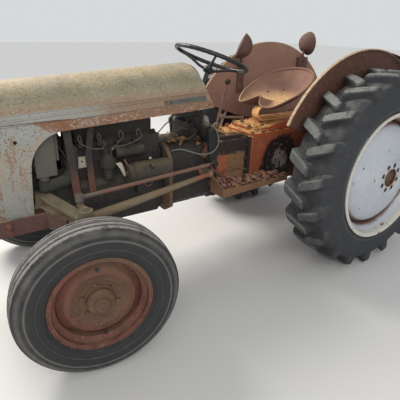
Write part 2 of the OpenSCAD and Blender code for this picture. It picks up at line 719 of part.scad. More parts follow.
module lamps() color("#6b5550") placed() mirror([0, 1, 0]) {
    block(205, 262, fender_y - 21, fender_y - 3, 968, 1164);
    rod([234, fender_y - 12, 1158], [296, 360, 1240], 9);
    translate([323, 340, 1302]) rotate([0, 0, 40]) rotate([0, 67, 0]) lamp_shell();
    block(-460, -358, fender_y - 30, fender_y - 3, 1090, 1206);
    rod([-409, fender_y - 15, 1200], [-422, fender_y - 10, 1256], 9);
    translate([-478, 430, 1310]) rotate([0, 0, 12]) rotate([0, -90, 0]) lamp_shell();
}

module footrests() color("#7b5a3c") placed() pair() {
    block(430, 933, 222, 345, 556, 562);
    side_form(339, 345) polygon([[430, 541], [933, 522], [933, 573], [430, 562]]);
    cross_form(933, 939) polygon([[220, 518], [352, 522], [343, 573], [220, 628]]);
    block(520, 570, housing_y + seat_gap, 223, 532, 556);
    block(880, 905, clutch_y + seat_gap, 223, 532, 556);
}

// Hood

// The hood's solid form, smaller all round by an inset
module hood_form(inset) intersection() {
    translate([hood_back, 0, arch_z]) rotate([0, hood_fall, 0]) translate([-100, 0, 0])
        rotate([90, 0, 90]) linear_extrude(1500) union() {
            circle(r = hood_r - inset, $fn = 128);
            polygon([[-bead_y + inset, bead_h], [-hood_half + inset, -skirt], [-hood_half + inset, -600],
                [hood_half - inset, -600], [hood_half - inset, -skirt], [bead_y - inset, bead_h]]);
            if (inset == 0) pair_2d() translate([bead_y, bead_h]) circle(r = bead_r, $fn = 24);
        }
    side_form(-400, 400) polygon(concat([[700, 300], [nose_x - 25 - inset, 300], [nose_x - inset, 700]],
        arc(nose_x - inset - 95, 1040, 95, 0, 80, 10), [[nose_x - 240, 1260], [700, 1320]]));
    translate([nose_x - inset - 420, 0, 300]) union() {
        cylinder(r = 420, h = 1200, $fn = 128);
        block(-1200, 0, -400, 400, 0, 1200);
    }
}

module hood() color(paint) placed() {
    difference() {
        hood_form(0);
        hood_form(hood_t);
        block(0, 3000, -500, 500, 0, 600);
        side_form(-500, 500) polygon(concat([[0, 0], [nose_x - 210, 0], [nose_x - 210, 600],
            [nose_x - 225, 800]], arc(nose_x - 395, 810, 168, 0, 90, 12), [[900, 1015], [0, 1015]]));
        side_form(-500, 500) polygon([[0, 0], [hood_back, 0], [hood_back, 1000],
            [hood_back + hood_lean, 1240], [hood_back + hood_lean + 10, 1500], [0, 1500]]);
        pair() block(nose_x - 140, nose_x + 60, 24, 168, 640, 1010);
    }
    pair() difference() {
        y_rod(hinge_x, hinge_z + 6, hinge_y - 22, hood_half - 1, 24);
        y_rod(hinge_x, hinge_z, 100, hinge_y + 0.3, hinge_r + running);
    }
}

module grille() color("wheat") placed() intersection() {
    translate([nose_x - 420, 0, 0]) {
        for (i = [0:slat_count - 1]) translate([0, 0, 652 + i * 345 / (slat_count - 1)])
            difference() {
                cylinder(r = 418.5, h = 9, $fn = 128);
                translate([0, 0, -1]) cylinder(r = 402, h = 12, $fn = 128);
            }
    }
    pair() block(nose_x - 240, nose_x + 160, 24 + seat_gap, 168 - seat_gap, 640 + seat_gap,
        1010 - seat_gap);
}

// Steered parts

module spindle(s) color(rust) placed() steer_posed(s) sided(s) {
    rod([wheelbase, kingpin_y, front_r - 24], [wheelbase, kingpin_y, 702], kingpin_r);
    translate([wheelbase, kingpin_y, front_r - 30]) cylinder(r = 26, h = sleeve_low - front_r + 29);
    y_rod(wheelbase, front_r, kingpin_y - 10, kingpin_y + kingpin_offset - 42, 27);
    y_rod(wheelbase, front_r, kingpin_y, kingpin_y + kingpin_offset + 40, stub_r);
    translate([wheelbase, kingpin_y, sleeve_top + 1]) cylinder(r = 31, h = 30);
    block(wheelbase - 13, wheelbase + 13, kingpin_y - steer_arm, kingpin_y, sleeve_top + 1, sleeve_top + 15);
    translate([wheelbase, kingpin_y - steer_arm, sleeve_top + 1]) cylinder(r = 15, h = 20 - seat_gap - 1 - 4);
    translate([wheelbase, kingpin_y - steer_arm, sleeve_top + 1]) cylinder(r = 9, h = ball_z - sleeve_top + 2);
}
module spindle_left() spindle(1);
module spindle_right() spindle(-1);

module drop_arm(s) color(steel) placed() sided(s) {
    y_rod(arm_shaft_x, arm_shaft_z, 100, arm_y + arm_t, arm_shaft_r);
    y_rod(arm_shaft_x, arm_shaft_z, arm_y, arm_y + arm_t, 36);
    y_rod(arm_shaft_x, arm_shaft_z - drop_arm, arm_y, arm_y + arm_t, 21);
    translate([arm_shaft_x, 0, arm_shaft_z]) side_form(arm_y + 2, arm_y + arm_t - 2)
        polygon([[-33, 0], [33, 0], [18, -drop_arm], [-18, -drop_arm]]);
}
module drop_arm_left() drop_arm(1);
module drop_arm_right() drop_arm(-1);

module drag_link(s) color("#8a5a48") placed() {
    front = steered([wheelbase, s * (kingpin_y - steer_arm), ball_z], s);
    back = [arm_shaft_x, s * (arm_y + arm_t + 20), arm_shaft_z - drop_arm];
    difference() {
        union() {
            rod(back, front, 10);
            translate(front - [0, 0, 16]) cylinder(r = 19, h = 32);
            translate(back - [0, 16, 0]) rotate([-90, 0, 0]) cylinder(r = 17, h = 32);
        }
        translate(front - [0, 0, 30]) cylinder(r = 9 + running, h = 33 + running);
    }
}
module drag_link_left() drag_link(1);
module drag_link_right() drag_link(-1);

// Wheels and tyres; their outlines give radius and distance outward from the tyre's middle

module front_wheel(s) color("#8a5648") placed() steer_posed(s) sided(s)
    wheel_form(wheelbase, kingpin_y + kingpin_offset, front_r) {
        polygon([[222, 64], [222, 57], [208, 57], [208, 40], [188, 24], [188, -24], [208, -40],
            [208, -57], [222, -57], [222, -64], [217, -64], [217, -62], [203, -62], [203, -43],
            [183, -27], [183, 27], [203, 43], [203, 62], [217, 62], [217, 64]]);
        polygon([[185, -6], [185, 2], [168, 14], [150, 30], [128, 34], [104, 22], [84, 16], [60, 16],
            [60, 42], [52, 52], [34, 54], [34, 66], [26, 76], [0, 78], [0, 42], [stub_r + running, 41],
            [stub_r + running, -38], [52, -38], [58, -20], [58, 8], [88, 8], [108, 14], [126, 26],
            [146, 22], [164, 6], [180, -8]]);
    }
module front_wheel_left() front_wheel(1);
module front_wheel_right() front_wheel(-1);

module front_tyre(s) color(rubber) placed() steer_posed(s) sided(s)
    wheel_form(wheelbase, kingpin_y + kingpin_offset, front_r) polygon(front_tyre_half());
module front_tyre_left() front_tyre(1);
module front_tyre_right() front_tyre(-1);

function front_tyre_side() = [[208.3, 56.7], [222.4, 56.7], [226, 64], [244, 72], [270, front_w / 2],
    [296, front_w / 2], [322, 74], [338, 66], [346, 58], [350, 52], [352, 38], [344, 36], [344, 29],
    [353.5, 27], [354.5, 12], [346, 10], [346, 4], [front_r, 2]];
function front_tyre_half() = concat(front_tyre_side(),
    [for (i = [len(front_tyre_side()) - 1:-1:0]) [front_tyre_side()[i][0], -front_tyre_side()[i][1]]]);

module rear_wheel(s) color("lightsteelblue") placed() sided(s) difference() {
    union() {
        wheel_form(0, rear_y, rear_r) {
            polygon([[rear_rim_r, 130], [rear_rim_r, 122], [362, 122], [362, 94], [338, 70], [338, -70],
                [362, -94], [362, -122], [rear_rim_r, -122], [rear_rim_r, -130], [370, -130], [370, -128],
                [356, -128], [356, -98], [331, -73], [331, 73], [356, 98], [356, 128], [370, 128],
                [370, 130]]);
            polygon(concat([[334, 24], [334, 34]], arc(300, 50, 26, -20, 60, 8), [[262, 104], [226, 134],
                [190, 153], [168, 157], [158, 162], [58, 162], [58, 154], [156, 154], [166, 149],
                [187, 145], [221, 126], [257, 96]], arc(298, 48, 18, 60, -30, 8), [[326, 24]]));
        }
        y_rod(0, rear_r, brake_in - 131, rear_y + 146, axle_r);
        difference() {
            y_rod(0, rear_r, brake_in, rear_y + 154.5, brake_r - 2);
            y_rod(0, rear_r, brake_in - 1, rear_y + 142, brake_r - 14);
        }
    }
    for (i = [0:nut_count - 1]) translate([nut_circle_r * cos(360 * i / nut_count), 0,
        rear_r + nut_circle_r * sin(360 * i / nut_count)]) y_rod(0, 0, rear_y + 149, rear_y + 170, 14.5);
    y_rod(0, rear_r, rear_y + 147, rear_y + 170, 57);
}
module rear_wheel_left() rear_wheel(1);
module rear_wheel_right() rear_wheel(-1);

function rear_tyre_side() = [[362.3, 121.7], [376.4, 121.7], [380, 130], [405, 136],
    [450, rear_w / 2], [500, rear_w / 2], [540, 134], [560, 120], [rear_r - lug_h - 2, 100],
    [rear_r - lug_h, 60]];
function mirrored(side) = concat(side, [for (i = [len(side) - 1:-1:0]) [side[i][0], -side[i][1]]]);

// A straight stretch of lug between two points of the tread, with a narrow crest and sloping flanks
module ridge(from, to, crest, foot) translate([from.x, from.y, rear_r - 100])
    rotate([0, 0, atan2(to.y - from.y, to.x - from.x)]) rotate([90, 0, 90])
    linear_extrude(norm(to - from)) polygon([[-foot, 0], [foot, 0], [foot, 58], [crest, 115], [-crest, 115],
        [-foot, 58]]);

// One tread lug at the top of the tyre: its inner end crosses the middle and lies further forward
module lug() intersection() {
    union() {
        ridge([58, -16], [10, 50], 20, 33);
        ridge([16, 42], [-38, 154], 21, 38);
    }
    rotate([-90, 0, 0]) rotate_extrude($fn = 128) polygon([[rear_r - 115, -40], [rear_r, -40],
        [rear_r, rear_w / 2 - 34], [rear_r - 12, rear_w / 2 - 17], [rear_r - 56, rear_w / 2 - 2],
        [rear_r - 115, rear_w / 2 - 1]]);
}

module rear_tyre(s) color(rubber) placed() sided(s) {
    wheel_form(0, rear_y, rear_r) polygon(mirrored(rear_tyre_side()));
    translate([0, rear_y, rear_r]) for (i = [0:lug_count - 1]) {
        rotate([0, 180 + i * 360 / lug_count, 0]) lug();
        rotate([0, 180 + (i + 0.5) * 360 / lug_count, 0]) mirror([0, 1, 0]) lug();
    }
}
module rear_tyre_left() rear_tyre(1);
module rear_tyre_right() rear_tyre(-1);

// Three-point linkage

lift_end = [lift_x - lift_arm * cos(lift_rest), 205, lift_z + lift_arm * sin(lift_rest)];
link_hole = [link_pivot_x + rod_at * (-link_reach - link_pivot_x), link_pivot_y + rod_at *
    (link_end_y - link_pivot_y), link_pivot_z + rod_at * (link_end_z - link_pivot_z)];

module lift_arms() color(rust) placed() {
    y_rod(lift_x, lift_z, -199, 199, lift_shaft_r);
    pair() {
        y_rod(lift_x, lift_z, 172, 200, 42);
        y_rod(lift_end.x, lift_end.z, 178, 198, 24);
        y_rod(lift_end.x, lift_end.z, 190, 222, 9.95);
        translate([lift_x, 180, lift_z]) rotate([0, 180 + lift_rest, 0])
            block(10, lift_arm, 0, 16, -20, 20);
    }
}

module lower_link(s) color(rust) placed() sided(s) difference() {
    union() {
        y_rod(link_pivot_x, link_pivot_z, link_pivot_y - 18, link_pivot_y + 18, 30);
        y_rod(-link_reach, link_end_z, link_end_y - 17.5, link_end_y + 17.5, link_eye_r);
        translate([link_pivot_x, link_pivot_y, link_pivot_z]) rotate([0, 0, 180 - link_splay])
            rotate([0, -link_slope, 0]) block(0, link_length, -9, 9, -22, 22);
        y_rod(link_hole.x, link_hole.z, link_hole.y - 30, link_hole.y + 8, 13);
    }
    y_rod(link_pivot_x, link_pivot_z, 100, 300, link_pin_r + running);
    y_rod(-link_reach, link_end_z, 200, 400, link_bore_r);
}
link_dx = link_pivot_x + link_reach;
link_splay = atan2(link_end_y - link_pivot_y, link_dx);
link_flat = norm([link_dx, link_end_y - link_pivot_y]);
link_slope = atan2(link_end_z - link_pivot_z, link_flat);
link_length = norm([link_flat, link_end_z - link_pivot_z]);
module lower_link_left() lower_link(1);
module lower_link_right() lower_link(-1);

module lift_rod(s) color(rust) placed() sided(s) {
    top = [lift_end.x, 210, lift_end.z];
    foot = [link_hole.x, link_hole.y - 44, link_hole.z];
    difference() {
        union() {
            y_rod(top.x, top.z, 200, 220, 22);
            rod([top.x, 210, top.z], foot, 12);
            y_rod(foot.x, foot.z, foot.y - 8, foot.y + 12, 24);
        }
        y_rod(top.x, top.z, 190, 230, 9.95 + running);
    }
}
module lift_rod_left() lift_rod(1);
module lift_rod_right() lift_rod(-1);

rear_housing();
side_covers();
lift_cover();
axle_housings();
gearbox();
engine_block();
cylinder_head();
manifold();
ignition();
leads();
cable();
starter_motor();
fan();
radiator();
hoses();
front_support();
front_axle();
radius_rods();
bumper();
fuel_tank();
braces();
dash_panel();
steering_box();
levers();
pedals();
seat();
seat_spring();
fenders();
lamps();
footrests();
pto_shaft();
exhaust_pipe();
hood();
grille();
steering_wheel();
spindle_left();
spindle_right();
drop_arm_left();
drop_arm_right();
drag_link_left();
drag_link_right();
front_wheel_left();
front_wheel_right();
front_tyre_left();
front_tyre_right();
rear_wheel_left();
rear_wheel_right();
rear_tyre_left();
rear_tyre_right();
lift_arms();
lower_link_left();
lower_link_right();
lift_rod_left();
lift_rod_right();
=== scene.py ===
"""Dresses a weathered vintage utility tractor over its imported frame."""

import logging
import math
import random
from dataclasses import dataclass, field
from enum import Enum
from typing import Iterable, Sequence, Union

import bmesh
import bpy
from mathutils import Matrix, Vector, noise
from mathutils.bvhtree import BVHTree


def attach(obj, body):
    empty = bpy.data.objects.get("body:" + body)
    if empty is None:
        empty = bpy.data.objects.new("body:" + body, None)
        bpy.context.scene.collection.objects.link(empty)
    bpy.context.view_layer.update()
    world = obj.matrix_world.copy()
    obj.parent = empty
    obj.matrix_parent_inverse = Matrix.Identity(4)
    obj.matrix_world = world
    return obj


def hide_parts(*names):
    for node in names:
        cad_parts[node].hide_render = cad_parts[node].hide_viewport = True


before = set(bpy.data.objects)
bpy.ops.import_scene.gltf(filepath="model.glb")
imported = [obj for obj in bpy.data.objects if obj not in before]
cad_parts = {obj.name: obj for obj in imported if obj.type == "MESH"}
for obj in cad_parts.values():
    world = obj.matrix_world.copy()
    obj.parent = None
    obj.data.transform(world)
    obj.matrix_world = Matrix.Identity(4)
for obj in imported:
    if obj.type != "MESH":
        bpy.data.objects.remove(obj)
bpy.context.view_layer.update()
LOG = logging.getLogger("tractor")

REAR_AXLE_X = -0.737
FRONT_AXLE = 1.778
REAR_RADIUS = 0.61
FRONT_RADIUS = 0.355
KINGPIN_Y = 0.5
STEERED = math.radians(7.0)
Number = Union[int, float]
Pair = tuple[float, float]
Triple = tuple[float, float, float]
Colour = tuple[float, float, float]
Shades = tuple[Colour, Colour, Colour]


def from_axle(x: float, y: float, z: float) -> Vector:
    """Gives a point of the frame from millimetres ahead of the rear axle, to the left and up."""
    return Vector((x / 1000 + REAR_AXLE_X, y / 1000, z / 1000))


# Shader graph


class Signal:
    """A shader value on which Python's operators add Math nodes."""

    def __init__(self, graph: "Graph", socket: bpy.types.NodeSocket) -> None:
        """Keeps the socket and the graph that holds it.

        Args:
            graph: The material's graph.
            socket: An output socket that carries a number.
        """
        self.graph = graph
        self.socket = socket

    def _math(self, operation: str, first: "Operand", second: "Operand" = 0.0) -> "Signal":
        """Adds one Math node.

        Args:
            operation: Blender's name for the operation.
            first: The upper input.
            second: The lower input.

        Returns:
            The node's result.
        """
        made = self.graph.node("ShaderNodeMath", {"operation": operation}, {0: first, 1: second})
        return Signal(self.graph, made.outputs[0])

    def __add__(self, other: "Operand") -> "Signal":
        """Adds."""
        return self._math("ADD", self, other)

    __radd__ = __add__

    def __sub__(self, other: "Operand") -> "Signal":
        """Subtracts the other value."""
        return self._math("SUBTRACT", self, other)

    def __rsub__(self, other: "Operand") -> "Signal":
        """Subtracts this value from the other."""
        return self._math("SUBTRACT", other, self)

    def __mul__(self, other: "Operand") -> "Signal":
        """Multiplies."""
        return self._math("MULTIPLY", self, other)

    __rmul__ = __mul__

    def __truediv__(self, other: "Operand") -> "Signal":
        """Divides by the other value."""
        return self._math("DIVIDE", self, other)

    def larger(self, other: "Operand") -> "Signal":
        """Takes the larger of two values."""
        return self._math("MAXIMUM", self, other)

    def smaller(self, other: "Operand") -> "Signal":
        """Takes the smaller of two values."""
        return self._math("MINIMUM", self, other)

    def size(self) -> "Signal":
        """Drops the sign."""
        return self._math("ABSOLUTE", self)

    def root(self) -> "Signal":
        """Takes the square root."""
        return self._math("SQRT", self)

    def rise(self, low: float, high: float) -> "Signal":
        """Goes smoothly from 0 at low to 1 at high, or falls where low is the larger.

        Args:
            low: The value that gives 0.
            high: The value that gives 1.

        Returns:
            The smooth step.
        """
        if low > high:
            return 1 - self.rise(high, low)
        made = self.graph.node(
            "ShaderNodeMapRange",
            {"interpolation_type": "SMOOTHSTEP"},
            {"Value": self, "From Min": low, "From Max": high},
        )
        return Signal(self.graph, made.outputs["Result"])


Operand = Union[Signal, Number]


class Graph:
    """Builds one material's nodes."""

    def __init__(self, material: bpy.types.Material) -> None:
        """Empties the material and starts with the object's own coordinates.

        Args:
            material: The material to fill.
        """
        material.use_nodes = True
        self.tree = material.node_tree
        self.tree.nodes.clear()
        self.here = self.node("ShaderNodeTexCoord", {}, {}).outputs["Object"]
        split = self.node("ShaderNodeSeparateXYZ", {}, {0: self.here})
        self.x = Signal(self, split.outputs[0]) - REAR_AXLE_X
        self.y = Signal(self, split.outputs[1])
        self.z = Signal(self, split.outputs[2])
        normal = self.node("ShaderNodeTexCoord", {}, {}).outputs["Normal"]
        facing = self.node("ShaderNodeSeparateXYZ", {}, {0: normal})
        self.face_y = Signal(self, facing.outputs[1])
        self.up = Signal(self, facing.outputs[2])

    def node(self, kind: str, settings: dict, sockets: dict) -> bpy.types.Node:
        """Adds a node.

        Args:
            kind: Blender's name for the node's type.
            settings: Properties, which are set before the sockets.
            sockets: Values or links by input name or number.

        Returns:
            The new node.
        """
        made = self.tree.nodes.new(kind)
        for name, value in settings.items():
            setattr(made, name, value)
        for name, value in sockets.items():
            self._feed(made.inputs[name], value)
        return made

    def _feed(self, socket: bpy.types.NodeSocket, value: object) -> None:
        """Links or sets one input."""
        if isinstance(value, Signal):
            self.tree.links.new(value.socket, socket)
        elif isinstance(value, bpy.types.NodeSocket):
            self.tree.links.new(value, socket)
        elif isinstance(value, tuple) and len(value) == 3 and socket.type == "RGBA":
            socket.default_value = (*value, 1.0)
        else:
            socket.default_value = value

    def place(self, stretch: Triple, shift: float = 0.0) -> bpy.types.NodeSocket:
        """Scales and shifts the coordinates, so that a texture stretches.

        Args:
            stretch: The factor on each axis.
            shift: A move along all axes.

        Returns:
            The changed coordinates.
        """
        made = self.node(
            "ShaderNodeVectorMath",
            {"operation": "MULTIPLY_ADD"},
            {0: self.here, 1: stretch, 2: (shift, shift, shift)},
        )
        return made.outputs[0]

    def noise(
        self, scale: float, detail: float = 4.0, stretch: Triple = (1, 1, 1), shift: float = 0.0
    ) -> Signal:
        """Gives cloudy noise with a mean of about a half.

        Args:
            scale: Clouds to a metre, roughly.
            detail: Finer layers on top.
            stretch: A factor for each axis.
            shift: Moves the pattern, so that two of one scale differ.

        Returns:
            The noise.
        """
        made = self.node(
            "ShaderNodeTexNoise",
            {},
            {"Vector": self.place(stretch, shift), "Scale": scale, "Detail": detail, "Roughness": 0.6},
        )
        return Signal(self, made.outputs["Fac"])

    def near(self, value: Signal, reach: float) -> Signal:
        """Gives 1 where the value is 0, falling to 0 at the reach on either side."""
        return value.size().rise(reach, 0.0)

    def distance(self, across: Signal, up: Signal) -> Signal:
        """Gives the distance from an axis, from two distances at right angles."""
        return (across * across + up * up).root()

    def specks(self, scale: float, shift: float = 0.0) -> Signal:
        """Gives the distance to scattered points, which is near 0 at each point."""
        made = self.node(
            "ShaderNodeTexVoronoi", {}, {"Vector": self.place((1, 1, 1), shift), "Scale": scale}
        )
        return Signal(self, made.outputs["Distance"])

    def mix(self, factor: Operand, low: object, high: object) -> bpy.types.NodeSocket:
        """Mixes two colours.

        Args:
            factor: 0 for the first colour and 1 for the second.
            low: A colour or a link.
            high: A colour or a link.

        Returns:
            The mixed colour.
        """
        made = self.tree.nodes.new("ShaderNodeMix")
        made.data_type = "RGBA"
        made.clamp_factor = True
        for socket, value in ((made.inputs[0], factor), (made.inputs[6], low), (made.inputs[7], high)):
            self._feed(socket, value)
        return made.outputs[2]

    def spread(self, value: Signal, colours: Sequence[Colour]) -> bpy.types.NodeSocket:
        """Lays a row of colours evenly over a value from 0.25 to 0.75.

        Args:
            value: The driving value, such as noise.
            colours: Two or more colours.

        Returns:
            The colour.
        """
        step = 0.5 / (len(colours) - 1)
        result: object = colours[0]
        for place, colour in enumerate(colours[1:]):
            low = 0.25 + place * step
            result = self.mix(value.rise(low, low + step), result, colour)
        return result

    def finish(
        self, colour: object, rough: Operand, metal: Operand = 0.0, height: Operand = 0.0,
        depth: float = 0.002, coat: float = 0.0, glow: object = None,
    ) -> None:
        """Closes the graph with one shader.

        Args:
            colour: Base colour.
            rough: Roughness.
            metal: Metallic share.
            height: Height of the surface, 0 to 1.
            depth: Metres that a height of 1 stands for.
            coat: Clear coat.
            glow: A link to the light that the surface gives off, if it gives off any.
        """
        shader = self.node(
            "ShaderNodeBsdfPrincipled", {},
            {"Base Color": colour, "Roughness": rough, "Metallic": metal, "Coat Weight": coat},
        )
        if isinstance(height, Signal):
            bump = self.node("ShaderNodeBump", {}, {"Height": height, "Distance": depth, "Strength": 1.0})
            self.tree.links.new(bump.outputs[0], shader.inputs["Normal"])
        if glow is not None:
            self._feed(shader.inputs["Emission Color"], glow)
            shader.inputs["Emission Strength"].default_value = 1.0
        out = self.tree.nodes.new("ShaderNodeOutputMaterial")
        self.tree.links.new(shader.outputs[0], out.inputs[0])


# Finishes


def shade(red: int, green: int, blue: int) -> Colour:
    """Gives the shader's numbers for a colour as a screen shows it, 0 to 255."""
    parts = [((part / 255 + 0.055) / 1.055) ** 2.4 for part in (red, green, blue)]
    return (parts[0], parts[1], parts[2])


def shades(dark: Sequence[int], middle: Sequence[int], light: Sequence[int]) -> Shades:
    """Gives the shader's numbers for three shades of one material."""
    return (shade(*dark), shade(*middle), shade(*light))


def ahead_of_front_axle(graph: Graph) -> Signal:
    """Gives how far ahead of a front wheel's axle a point lies, along the way the parked wheel points."""
    aside = graph.y - graph.y / graph.y.size() * KINGPIN_Y
    return (graph.x - FRONT_AXLE) * math.cos(STEERED) - aside * math.sin(STEERED)


@dataclass(frozen=True)
class Finish:
    """A finish that has a name and builds its own material once."""

    name: str

    def material(self) -> bpy.types.Material:
        """Gives the material, which is built on first use."""
        name = f"{self.name}_finish"
        found = bpy.data.materials.get(name)
        if found is None:
            found = bpy.data.materials.new(name)
            self.dress(Graph(found))
        return found

    def dress(self, graph: Graph) -> None:
        """Adds the finish's nodes."""
        raise NotImplementedError


@dataclass(frozen=True)
class Weathered(Finish):
    """A mottled surface of three shades, with dust on top and painted shade where it faces down."""

    dark: Colour = shade(75, 50, 44)
    middle: Colour = shade(118, 80, 66)
    light: Colour = shade(158, 116, 96)
    dust: Colour = shade(150, 128, 96)
    dusty: float = 0.35
    scale: float = 9.0
    rough: float = 0.8
    depth: float = 0.0012
    painted_underside_shade: float = 0.45

    def colour(self, graph: Graph) -> bpy.types.NodeSocket:
        """Gives the mottled colour before the dust."""
        return graph.spread(self.value(graph), (self.dark, self.middle, self.light))

    def value(self, graph: Graph) -> Signal:
        """Gives the mottle's own value."""
        return graph.noise(self.scale, 6) * 0.55 + graph.noise(self.scale * 13, 5, shift=3.0) * 0.45

    def dress(self, graph: Graph) -> None:
        """Mottles, dusts and pits the surface, and paints shade on faces that look down."""
        grain = graph.noise(self.scale * 16, 5, shift=7.0)
        settled = graph.up.rise(0.35, 0.95) * graph.noise(14, 5, shift=5.0).rise(0.3, 0.6) * self.dusty
        # Painted shade: faces that look down are darkened towards a third of the dark shade.
        under = graph.up.rise(-0.2, -0.9) * self.painted_underside_shade
        colour = graph.mix(settled, self.colour(graph), self.dust)
        colour = graph.mix(under, colour, tuple(0.35 * part for part in self.dark))
        lumps = grain + graph.noise(self.scale * 4, 4)
        graph.finish(colour, self.rough - 0.08 + grain * 0.16, height=lumps, depth=self.depth)


@dataclass(frozen=True)
class Chipped(Weathered):
    """Paint of three shades that has chipped to rust in sharp-edged spots."""

    rust: Colour = shade(110, 66, 46)
    chips: float = 0.66
    chip_scale: float = 26.0

    def colour(self, graph: Graph) -> bpy.types.NodeSocket:
        """Lays the chips over the mottled paint."""
        spot = graph.noise(self.chip_scale, 8, shift=9.0).rise(self.chips, self.chips + 0.02)
        halo = graph.noise(self.chip_scale, 8, shift=9.0).rise(self.chips - 0.05, self.chips + 0.02) * 0.45
        rust = graph.mix(graph.noise(90, 4), self.rust, tuple(0.4 * part for part in self.rust))
        return graph.mix(spot, graph.mix(halo, super().colour(graph), self.rust), rust)


@dataclass
class HoodMarks:
    """The noises, the stains and the two colours that the parts of the hood share."""

    cloud: Signal
    fine: Signal
    blotch: Signal
    streak: Signal
    ragged: Signal
    flecks: Signal
    low_arch: Signal
    stain: Signal
    tip: Signal
    drips: Signal
    rust: bpy.types.NodeSocket
    side: bpy.types.NodeSocket


@dataclass(frozen=True)
class HoodPaint(Finish):
    """Lichen-stained paint on the arch, rust under the bead line and pale grey paint on the nose.

    Attributes:
        bead: The line at the arch's foot, as its height at the rear axle and its fall for each metre ahead.
        crease: The line along the side, as the same two measures.
        seam: The upper edge of the nose's side plate, as the same two measures.
        nose: Where the side plate begins, ahead of the rear axle.
        tip: Where the nose curves round to its front.
    """

    bead: Pair = (1.13115, 0.03654)
    crease: Pair = (1.0875, 0.0381)
    seam: Pair = (1.059, 0.02)
    nose: Pair = (1.715, 1.735)
    tip: Pair = (1.98, 2.09)
    olive: Shades = shades((100, 96, 78), (134, 129, 106), (162, 154, 128))
    tan: Shades = shades((132, 114, 88), (178, 162, 132), (208, 196, 168))
    grey: Shades = shades((112, 112, 104), (146, 144, 134), (172, 168, 156))
    rust: Shades = shades((84, 58, 44), (132, 94, 70), (168, 134, 106))
    pale: Shades = shades((124, 124, 116), (156, 157, 150), (182, 181, 171))
    brown: Shades = shades((96, 78, 62), (146, 126, 104), (186, 172, 150))
    stained: Shades = shades((132, 118, 98), (166, 152, 130), (190, 180, 160))
    soot_and_shade: Shades = shades((30, 27, 26), (46, 41, 38), (70, 60, 52))

    def over(self, graph: Graph, line: Pair) -> Signal:
        """Gives the height over one of the hood's lines."""
        return graph.z + graph.x * line[1] - line[0]

    def marks(self, graph: Graph) -> HoodMarks:
        """Gives the values that the colours share."""
        cloud = graph.noise(5, 6)
        fine = graph.noise(75, 6, shift=4.0)
        blotch = graph.noise(17, 7, shift=8.0)
        streak = graph.noise(34, 6, (1.0, 1.0, 0.10), 2.0)
        low_arch = self.over(graph, self.bead).rise(0.075, 0.0)
        tip = graph.x.rise(*self.tip)
        return HoodMarks(
            cloud, fine, blotch, streak,
            ragged=(blotch - 0.5) * 0.14 + (fine - 0.5) * 0.10,
            flecks=fine * 0.55 + blotch * 0.25 + streak * 0.20,
            low_arch=low_arch,
            stain=(blotch * 0.5 + fine * 0.5 + low_arch * 0.10).rise(0.60, 0.68),
            tip=tip,
            drips=(streak * 0.60 + fine * 0.40 + tip * 0.08).rise(0.55, 0.62),
            rust=graph.spread(fine * 0.55 + streak * 0.45, self.rust),
            side=graph.spread(streak * 0.3 + fine * 0.4 + cloud * 0.3, self.pale),
        )

    def arch(self, graph: Graph, marks: HoodMarks) -> bpy.types.NodeSocket:
        """Gives the colours over the bead line: olive sides, a tan top as painted highlight, grey clouds,
        rust and lichen.
        """
        cloud, fine, blotch = marks.cloud, marks.fine, marks.blotch
        olive = graph.spread(fine * 0.5 + blotch * 0.5, self.olive)
        tan = graph.spread(fine * 0.6 + blotch * 0.4, self.tan)
        grey = graph.spread(fine * 0.5 + cloud * 0.5, self.grey)
        # Painted highlight: faces that look up turn from olive to the paler tan.
        arch = graph.mix((graph.up + fine * 0.3 + cloud * 0.5 - 0.4).rise(0.55, 1.0), olive, tan)
        arch = graph.mix(graph.noise(7, 6, shift=12.0).rise(0.50, 0.68) * 0.6, arch, grey)
        arch = graph.mix(marks.low_arch * 0.55, arch, tan)
        arch = graph.mix(marks.stain * 0.75, arch, marks.rust)
        low = self.over(graph, self.bead).rise(0.050, 0.004)
        tanned = low * (fine * 0.5 + blotch * 0.5).rise(0.36, 0.52)
        arch = graph.mix(tanned * 0.7, arch, shade(146, 120, 98))
        patches = graph.noise(9, 5, shift=33.0).rise(0.40, 0.54)
        lichen = graph.noise(130, 4, shift=31.0).rise(0.56, 0.62) * patches
        arch = graph.mix(lichen * 0.45, arch, shade(190, 190, 170))
        specks = graph.noise(95, 5, shift=35.0).rise(0.58, 0.64)
        return graph.mix(specks * 0.5, arch, shade(96, 82, 64))

    def band(self, graph: Graph, marks: HoodMarks) -> bpy.types.NodeSocket:
        """Gives the colours under the bead line: brown going to pale ahead, and rust under the crease."""
        front = (graph.x + marks.ragged).rise(1.40, 1.72)
        brown = graph.spread(marks.fine * 0.6 + marks.blotch * 0.4, self.brown)
        between = graph.mix(front, brown, marks.side)
        between = graph.mix((marks.flecks + front * -0.05).rise(0.50, 0.56) * 0.7, between, marks.rust)
        lower = graph.mix((marks.flecks + marks.ragged * 0.3).rise(0.40, 0.50), between, marks.rust)
        bare = graph.noise(105, 6, (0.45, 1.0, 1.0), 27.0) * 0.6 + marks.blotch * 0.4
        lower = graph.mix(bare.rise(0.51, 0.58) * 0.55, lower, shade(182, 166, 148))
        deep = graph.noise(80, 6, shift=37.0).rise(0.55, 0.62)
        lower = graph.mix(deep * 0.55, lower, shade(92, 64, 50))
        return graph.mix(self.over(graph, self.crease).rise(0.001, -0.003), between, lower)

